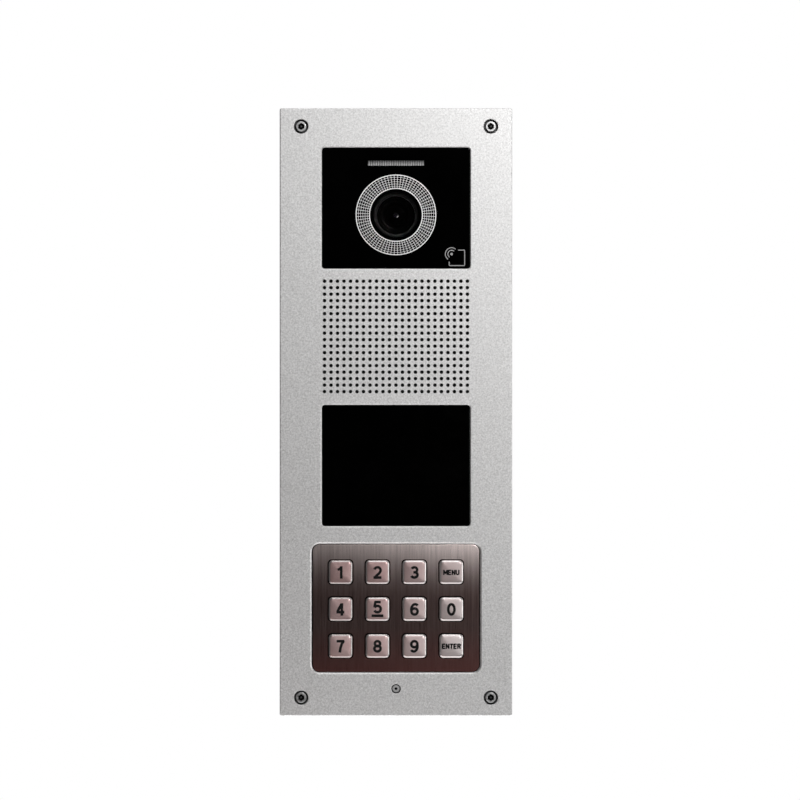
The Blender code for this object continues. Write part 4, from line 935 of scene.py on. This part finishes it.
def makeSpeaker():
    k = named(speakerLook)
    rows = softBlock(dust.wide, dust.tall, k.meshCorner, dust.front, dust.rear, k.meshEdge)
    cloth = lofted("dust_mesh", rows, dust)
    dress(cloth, mesh, ["speaker_mesh"])
    pad, basket, cone, magnet = (spot("speaker_" + part) for part in ("gasket", "frame", "cone", "magnet"))
    opening, slope = pad.wide - 2 * k.rim, k.foamInner
    profile = turnedBlock(pad.wide, pad.front, pad.rear, k.foamEdge)
    profile += [(opening + slope, pad.rear), (opening, pad.rear - slope), (opening, pad.front + slope)]
    profile += [(opening + slope, pad.front)]
    soft = lofted("speaker_foam_ring", turned(profile, k.sides), dust, hollow=True)
    dress(soft, foam, ["speaker_gasket"])

    flange, floor = basket.front + k.flange, basket.rear - k.wall
    profile = turnedEdge(basket.wide, basket.front, k.edge)
    profile += [(basket.wide, flange), (opening + 2 * k.wall, flange), (k.base, floor), (k.base, basket.rear)]
    profile += [(k.bore, basket.rear), (k.bore, floor), (k.base - 2 * k.wall, floor)]
    profile += [(opening, flange), (opening, basket.front)]
    frameBody = lofted("speaker_basket", turned(profile, k.sides), dust, hollow=True)
    for wide, tall in ((k.window, basket.wide), (basket.wide, k.window)):
        shape = outline(wide, tall, k.windowCorner)
        carveOne(frameBody, slab(shape, flange + k.windowInset, floor - k.windowInset), dust)
    dress(frameBody, blackPlastic, ["speaker_frame"])

    rim, throat, seat = opening - 2 * gap, cone.front + k.coneDeep, cone.front + k.rollSeat
    shares = [i / k.steps for i in range(1, k.steps + 1)]
    profile = [(k.throat * share, throat - k.cap * (1 - share ** 2)) for share in shares[2:]]
    for share in shares[:-1]:
        profile += [(rim - k.roll * (1 - share), seat - k.rollTall * math.sin(math.pi * share))]
    profile += [(rim, cone.front), (rim, cone.front + k.paper), (rim - k.rollFoot, seat + k.paper)]
    profile += [(k.throat + 2 * k.paper, throat + k.paper)]
    paper = lofted("speaker_paper_cone", turned(profile, k.sides), dust)
    dress(paper, paperCone, ["speaker_cone"])
    profile = turnedBlock(magnet.wide, magnet.front, magnet.rear, k.edge, k.magnetEdge)
    ferriteRing = lofted("speaker_magnet_ring", turned(profile, k.sides), dust)
    dress(ferriteRing, ferrite, ["speaker_magnet"])


makeSpeaker()
print("speaker made")

# rear cover: drafted tray with a flange, board bosses inside and openings for the sockets
coverLook = lengths(
    wide=106, tall=382, corner=8, edge=2, draft=0.8, wall=2.2, flangeCorner=12, flangeThick=2.5,
    flangeEdge=0.5, foot=0.5, boss=7, bossInset=6, guide=5.8, screwHole=3.6, slotCorner=0.5, slotRim=0.3,
) | {"edgeSteps": 6, "sides": 32}
cover, mainBoard = spot("rear_cover"), spot("main_board")
sockets = {name: spot(name) for name in ("network_jack", "bus_terminal", "power_terminal")}
plunger = spot("tamper_plunger")


def makeCover():
    k = named(coverLook)
    floor, flangeRear = cover.rear - k.wall, cover.front + k.flangeThick
    inWide, inTall, inCorner = k.wide - 2 * k.wall, k.tall - 2 * k.wall, k.corner - k.wall
    rows = [(outline(inWide - 2 * k.draft, inTall - 2 * k.draft, inCorner), floor),
            (outline(inWide, inTall, inCorner), cover.front)]
    rows += softBlock(cover.wide, cover.tall, k.flangeCorner, cover.front, flangeRear, k.flangeEdge)
    rows += [(outline(k.wide + 2 * k.foot, k.tall + 2 * k.foot, k.corner + k.foot), flangeRear),
             (outline(k.wide, k.tall, k.corner), flangeRear + k.foot)]
    wide, tall = k.wide - 2 * k.draft, k.tall - 2 * k.draft
    rows += roundOver(wide, tall, k.corner, cover.rear, k.edge, way=-1, steps=k.edgeSteps)[::-1]
    tray = lofted("rear_cover_moulded", rows)
    bosses = bmesh.new()
    boss = drum(k.boss, mainBoard.rear + gap, floor + k.wall / 2, k.sides)
    x, z = mainBoard.wide / 2 - k.bossInset, mainBoard.tall / 2 - k.bossInset
    for sx, sz in quarters:
        loft(bosses, boss, place(mainBoard.x + sx * x, mainBoard.z + sz * z))
    carve(tray, bosses, "UNION")
    cuts = bmesh.new()
    deep = k.wall + past
    openings = [(at, mouth(at.wide + 2 * gap, at.tall + 2 * gap, k.slotCorner, 0, k.slotRim, deep))
                for at in sockets.values()]
    openings.append((plunger, roundMouth(k.guide, 0, k.slotRim, deep)))
    for at, rows in openings:  # cut from the rear face inwards
        loft(cuts, [(shape, cover.rear - y) for shape, y in rows], at)
    for at in coverScrews:
        loft(cuts, drum(k.screwHole, cover.front - past, flangeRear + past, k.sides), at)
    carve(tray, cuts)
    dress(tray, blackPlastic, ["rear_cover"])


coverScrewLook = lengths(headTall=2, shank=3, tipIn=0.8, tipLong=0.6, edge=0.6, slotLong=3.2, slotWide=0.75,
                         slotDeep=1.1, slotOver=0.1, footCorner=0.1, slotCorner=0.15)
coverScrewLook |= {"slotTaper": 0.7, "around": 3}


def makeCoverScrews():
    k = named(coverScrewLook)
    for number, at in enumerate(coverScrews, 1):
        head = at.rear - k.headTall
        profile = [(k.shank - k.tipIn, at.front), (k.shank, at.front + k.tipLong)]
        profile += [(k.shank, head), (at.wide, head)]
        profile += turnedEdge(at.wide, at.rear, k.edge, -1)[::-1]
        screw = lofted(f"tray_screw_{number}", turned(profile), at)
        for wide, tall in ((k.slotLong, k.slotWide), (k.slotWide, k.slotLong)):
            foot = outline(wide * k.slotTaper, tall * k.slotTaper, k.footCorner, k.around)
            top = outline(wide, tall, k.slotCorner, k.around)
            carveOne(screw, [(foot, at.rear - k.slotDeep), (top, at.rear + k.slotOver)], at)
        dress(screw, screwSteel, [f"cover_screw_{number}"])


makeCover()
makeCoverScrews()
print("rear cover made")

# seals: foam strip to the wall, rubber strip under the cover's flange
sealLook = lengths(wide=6.5, corner=2, edge=0.55, coverWide=2.2, coverCorner=8, coverEdge=0.35,
                   tighter=1, least=1)


def stripRows(at, wide, corner, edge):  # a closed strip with soft edges
    rows = softBlock(at.wide, at.tall, corner, at.front, at.rear, edge)
    inner = max(corner - sealLook["tighter"], sealLook["least"])
    for y, way in ((at.rear, -1), (at.front, 1)):
        over = []
        for grow, depth in turnedEdge(0.0, y, edge, way):
            shape = outline(at.wide - 2 * wide - grow, at.tall - 2 * wide - grow, inner)
            over.append((shape, depth))
        rows += over if way < 0 else over[::-1]
    return rows


def makeSeals():
    k = named(sealLook)
    at = spot("wall_gasket")
    wall = lofted("wall_foam_strip", stripRows(at, k.wide, k.corner, k.edge), at, hollow=True)
    dress(wall, foam, ["wall_gasket"])
    at = spot("cover_seal")
    rows = stripRows(at, k.coverWide, k.coverCorner, k.coverEdge)
    under = lofted("cover_rubber_strip", rows, at, hollow=True)
    dress(under, blackRubber, ["cover_seal"])


makeSeals()
print("seals made")

# sockets at the back: a shielded jack with contacts, two plug headers with pins
socketLook = lengths(
    wall=1.4, jackDeep=12.5, headerDeep=9, corner=0.5, edge=0.25, hollowCorner=0.2, rimWider=0.5,
    rimCorner=0.3, latch=(6.4, 2.6), contactPitch=1.02, contactHalf=0.22, contactThick=0.3,
    contactIn=(2.5, 6, 10), contactDrop=(0.3, 0.9, 3.2, 3.6), pinPitch=3.81, pin=1.0, pinLong=6.5,
    pinCorner=0.12, pinRoot=0.3, pinEdge=0.05, pinTip=0.3, pinSpare=1.5,
) | {"contacts": 8, "around": 3, "pinAround": 2}


def makeShell(name, finish, deep):
    k, at = named(socketLook), sockets[name]
    inWide, inTall = at.wide - 2 * k.wall, at.tall - 2 * k.wall
    floor = at.rear - deep
    rim = outline(inWide + k.rimWider, inTall + k.rimWider, k.rimCorner, k.around)
    rows = slab(outline(inWide, inTall, k.hollowCorner, k.around), floor, at.rear - k.edge) + [(rim, at.rear)]
    rows += roundOver(at.wide, at.tall, k.corner, at.rear, k.edge, way=-1, around=k.around)
    rows += [(outline(at.wide, at.tall, k.corner, k.around), at.front)]
    shell = lofted(name + "_shell", rows, at)
    if name == "network_jack":
        notch = outline(*k.latch, k.hollowCorner, k.around)
        carveOne(shell, slab(notch, floor, at.rear + past), place(at.x, at.z - (at.tall - k.wall) / 2))
    dress(shell, finish, [name])


def makeContacts(at, deep):  # sprung, along the jack's upper wall
    k = named(socketLook)
    top = at.z + (at.tall - 2 * k.wall) / 2
    path = [(at.rear - y, top - drop) for y, drop in zip((*k.contactIn, deep), k.contactDrop)]
    line = path + [(y, z + k.contactThick) for y, z in path[::-1]]
    bm = bmesh.new()
    for i in range(k.contacts):
        x = at.x + (i - (k.contacts - 1) / 2) * k.contactPitch
        prism(bm, [[(x + side * k.contactHalf, y, z) for y, z in line] for side in (-1, 1)])
    dress(asObject("jack_contacts", bm), goldPlate)


def makePins(name, at, deep):
    k = named(socketLook)
    floor = at.rear - deep
    count = int((at.wide - 2 * k.wall - k.pinSpare) / k.pinPitch)
    root, tip = floor - k.pinRoot, floor + k.pinLong
    rows = softBlock(k.pin, k.pin, k.pinCorner, root, tip, k.pinEdge, k.pinTip, k.pinAround)
    bm = bmesh.new()
    for i in range(count):
        loft(bm, rows, place(at.x + (i - (count - 1) / 2) * k.pinPitch, at.z))
    dress(asObject(name + "_pins", bm), tinPlate)


def makeSockets():
    k = named(socketLook)
    makeShell("network_jack", tinPlate, k.jackDeep)
    makeContacts(sockets["network_jack"], k.jackDeep)
    for name in ("bus_terminal", "power_terminal"):
        makeShell(name, terminalGreen, k.headerDeep)
        makePins(name, sockets[name], k.headerDeep)


# tamper plunger with its return spring, on the switch body
tamperLook = lengths(button=5, buttonEdge=0.8, collar=8, collarTall=2, collarEdge=0.3, stem=3, stemEdge=0.4,
                     proud=4, wire=0.6, coil=5.2) | {"turns": 4, "perTurn": 24, "wireSides": 3, "keep": 0.58}


def makeTamper():
    k = named(tamperLook)
    collarRear = plunger.rear - k.proud - coverLook["wall"] - gap
    collarFront = collarRear - k.collarTall
    profile = turnedEdge(k.stem, plunger.front, k.stemEdge) + [(k.stem, collarFront)]
    profile += turnedEdge(k.collar, collarFront, k.collarEdge)
    profile += [(k.collar, collarRear), (k.button, collarRear)]
    profile += turnedEdge(k.button, plunger.rear, k.buttonEdge, -1)[::-1]
    button = lofted("tamper_button", turned(profile), plunger)
    dress(button, blackPlastic, ["tamper_plunger"], "tamper_plunger")
    at = spot("tamper_spring")
    curve = bpy.data.curves.new("coil", "CURVE")
    curve.dimensions = "3D"
    curve.bevel_depth = k.wire / 2
    curve.bevel_resolution = k.wireSides
    curve.use_fill_caps = True
    spline = curve.splines.new("POLY")
    count = k.turns * k.perTurn
    spline.points.add(count)
    radius, climb = k.coil / 2, at.rear - at.front - k.wire
    for i in range(count + 1):
        angle = 2 * math.pi * i / k.perTurn
        x, z = plunger.x + radius * math.cos(angle), plunger.z + radius * math.sin(angle)
        spline.points[i].co = (x, at.front + k.wire / 2 + climb * i / count, z, 1)
    wire = bpy.data.objects.new("coil", curve)
    scene.collection.objects.link(wire)
    spring = bpy.data.objects.new("tamper_coil", finalMesh(wire))
    scene.collection.objects.link(spring)
    bpy.data.objects.remove(wire)
    bpy.data.curves.remove(curve)
    dress(spring, tinPlate, ["tamper_spring"])
    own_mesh(spring)


makeSockets()
makeTamper()
print("sockets and tamper made")

# solids that keep their CAD shape, with finishes of their own
boards = ("camera_board", "fill_light_board", "reader_antenna", "keypad_board", "main_board")
kept = dict.fromkeys(boards, board) | {
    "lcd_panel": displayGlass, "lcd_frame": blackPlastic, "mic_capsule": tinPlate,
    "processor_shield": tinPlate, "tamper_switch": blackPlastic}
for node, finish in kept.items():
    bpy.data.objects[node].data.materials.clear()
    bpy.data.objects[node].data.materials.append(finish)
felted = spot("mic_capsule").front + 0.1 * mm  # the capsule's face has a black felt on it
second(bpy.data.objects["mic_capsule"], paperCone, lambda face: face.center.y < felted)

# camera, floor, world and lamps
cameraSetup = {"lens": 120, "place": (0.0027, -1.7837, 0.008)}
cameraData = bpy.data.cameras.new("photoCamera")
cameraData.lens = cameraSetup["lens"]
photoCamera = bpy.data.objects.new("photoCamera", cameraData)
photoCamera.location = cameraSetup["place"]
photoCamera.rotation_euler = (math.pi / 2, 0, 0)
scene.collection.objects.link(photoCamera)
scene.camera = photoCamera

floorLook = {"drop": 0.42, "radius": 0.36, "thick": 0.002, "sides": 96, "cloud": 70, "fade": (0.5, 0.95)}
pale = lofted("studioFloor", drum(2 * floorLook["radius"], 0.0, floorLook["thick"], floorLook["sides"]))
pale.rotation_euler = (math.pi / 2, 0, 0)
pale.location = (0, 0, -floorLook["drop"])
floorPaint = Finish("paleFloor", Roughness=0.75, Emission_Color=(1, 1, 1, 1))
floorPaint.colours(floorPaint.remap(floorPaint.noise(floorLook["cloud"])), 0.80, 0.86)
away = floorPaint.add("ShaderNodeVectorMath", {0: floorPaint.place}, operation="LENGTH").outputs["Value"]
fade = floorPaint.remap(away, 0.0, 1.0, *(share * floorLook["radius"] for share in floorLook["fade"]))
rays = floorPaint.add("ShaderNodeLightPath").outputs
# it fades into the white background, and shines white in metal
fade = floorPaint.maths(fade, rays["Is Camera Ray"])
floorPaint.feed("Emission Strength", floorPaint.maths(fade, rays["Is Glossy Ray"], "MAXIMUM"))
pale.data.materials.append(floorPaint.material)

studio = {"front": 0.002, "right": 0.35, "left": 0.15, "up": 0.3, "down": 0.1, "behind": 1.0}
world = bpy.data.worlds.new("studio")
world.use_nodes = True
scene.world = world
sky = Nodes(world.node_tree)
direction = sky.add("ShaderNodeTexCoord").outputs["Generated"]
ways = sky.add("ShaderNodeSeparateXYZ", {"Vector": direction}).outputs
total = None
sides = (("X", 1, "right"), ("X", -1, "left"), ("Z", 1, "up"), ("Z", -1, "down"), ("Y", 1, "behind"))
for axis, sign, side in sides:
    facing = sky.maths(sky.maths(ways[axis], sign), 0.0, "MAXIMUM")
    part = sky.maths(sky.maths(facing, 2.0, "POWER"), studio[side])
    total = part if total is None else sky.maths(total, part, "ADD")
total = sky.maths(total, studio["front"], "ADD")
path = sky.add("ShaderNodeLightPath").outputs
level = sky.add("ShaderNodeMix", {0: path["Is Camera Ray"], 2: total, 3: 1.0}, data_type="FLOAT").outputs[0]
background = world.node_tree.nodes["Background"]
sky.put(background.inputs["Color"], (1, 1, 1, 1))
sky.put(background.inputs["Strength"], level)

lamps = {
    "topSoftbox": {"place": (0.5, -1.6, 0.8), "size": (0.3, 0.3), "power": 14.9, "aim": (0, 0, 0.05)},
    "rightSoftbox": {"place": (1.15, -0.25, 0.0), "size": (0.5, 0.8), "power": 3.0, "aim": (0, 0, 0)},
    "overheadStrip": {"place": (0, -0.3, 1.3), "size": (0.7, 0.3), "power": 3.2, "aim": (0, 0, -0.1)},
    "frontGlow": {"place": (0.37, -1.75, -0.01), "size": (0.3, 0.3), "power": 1.45, "aim": (0, 0, 0)},
    "warmBounce": {"place": (-0.45, -0.8, -0.75), "size": (0.6, 0.3), "power": 0.7, "aim": (0, 0, -0.14),
                   "tint": (1.0, 0.80, 0.78)},
}
for name, setup in lamps.items():
    data = bpy.data.lights.new(name, "AREA")
    data.shape = "RECTANGLE"
    data.size, data.size_y = setup["size"]
    data.energy = setup["power"]
    data.color = setup.get("tint", (1, 1, 1))
    lamp = bpy.data.objects.new(name, data)
    lamp.location = setup["place"]
    lamp.rotation_euler = (Vector(setup["aim"]) - Vector(setup["place"])).to_track_quat("-Z", "Y").to_euler()
    lamp.visible_camera = False
    scene.collection.objects.link(lamp)
print("studio made")
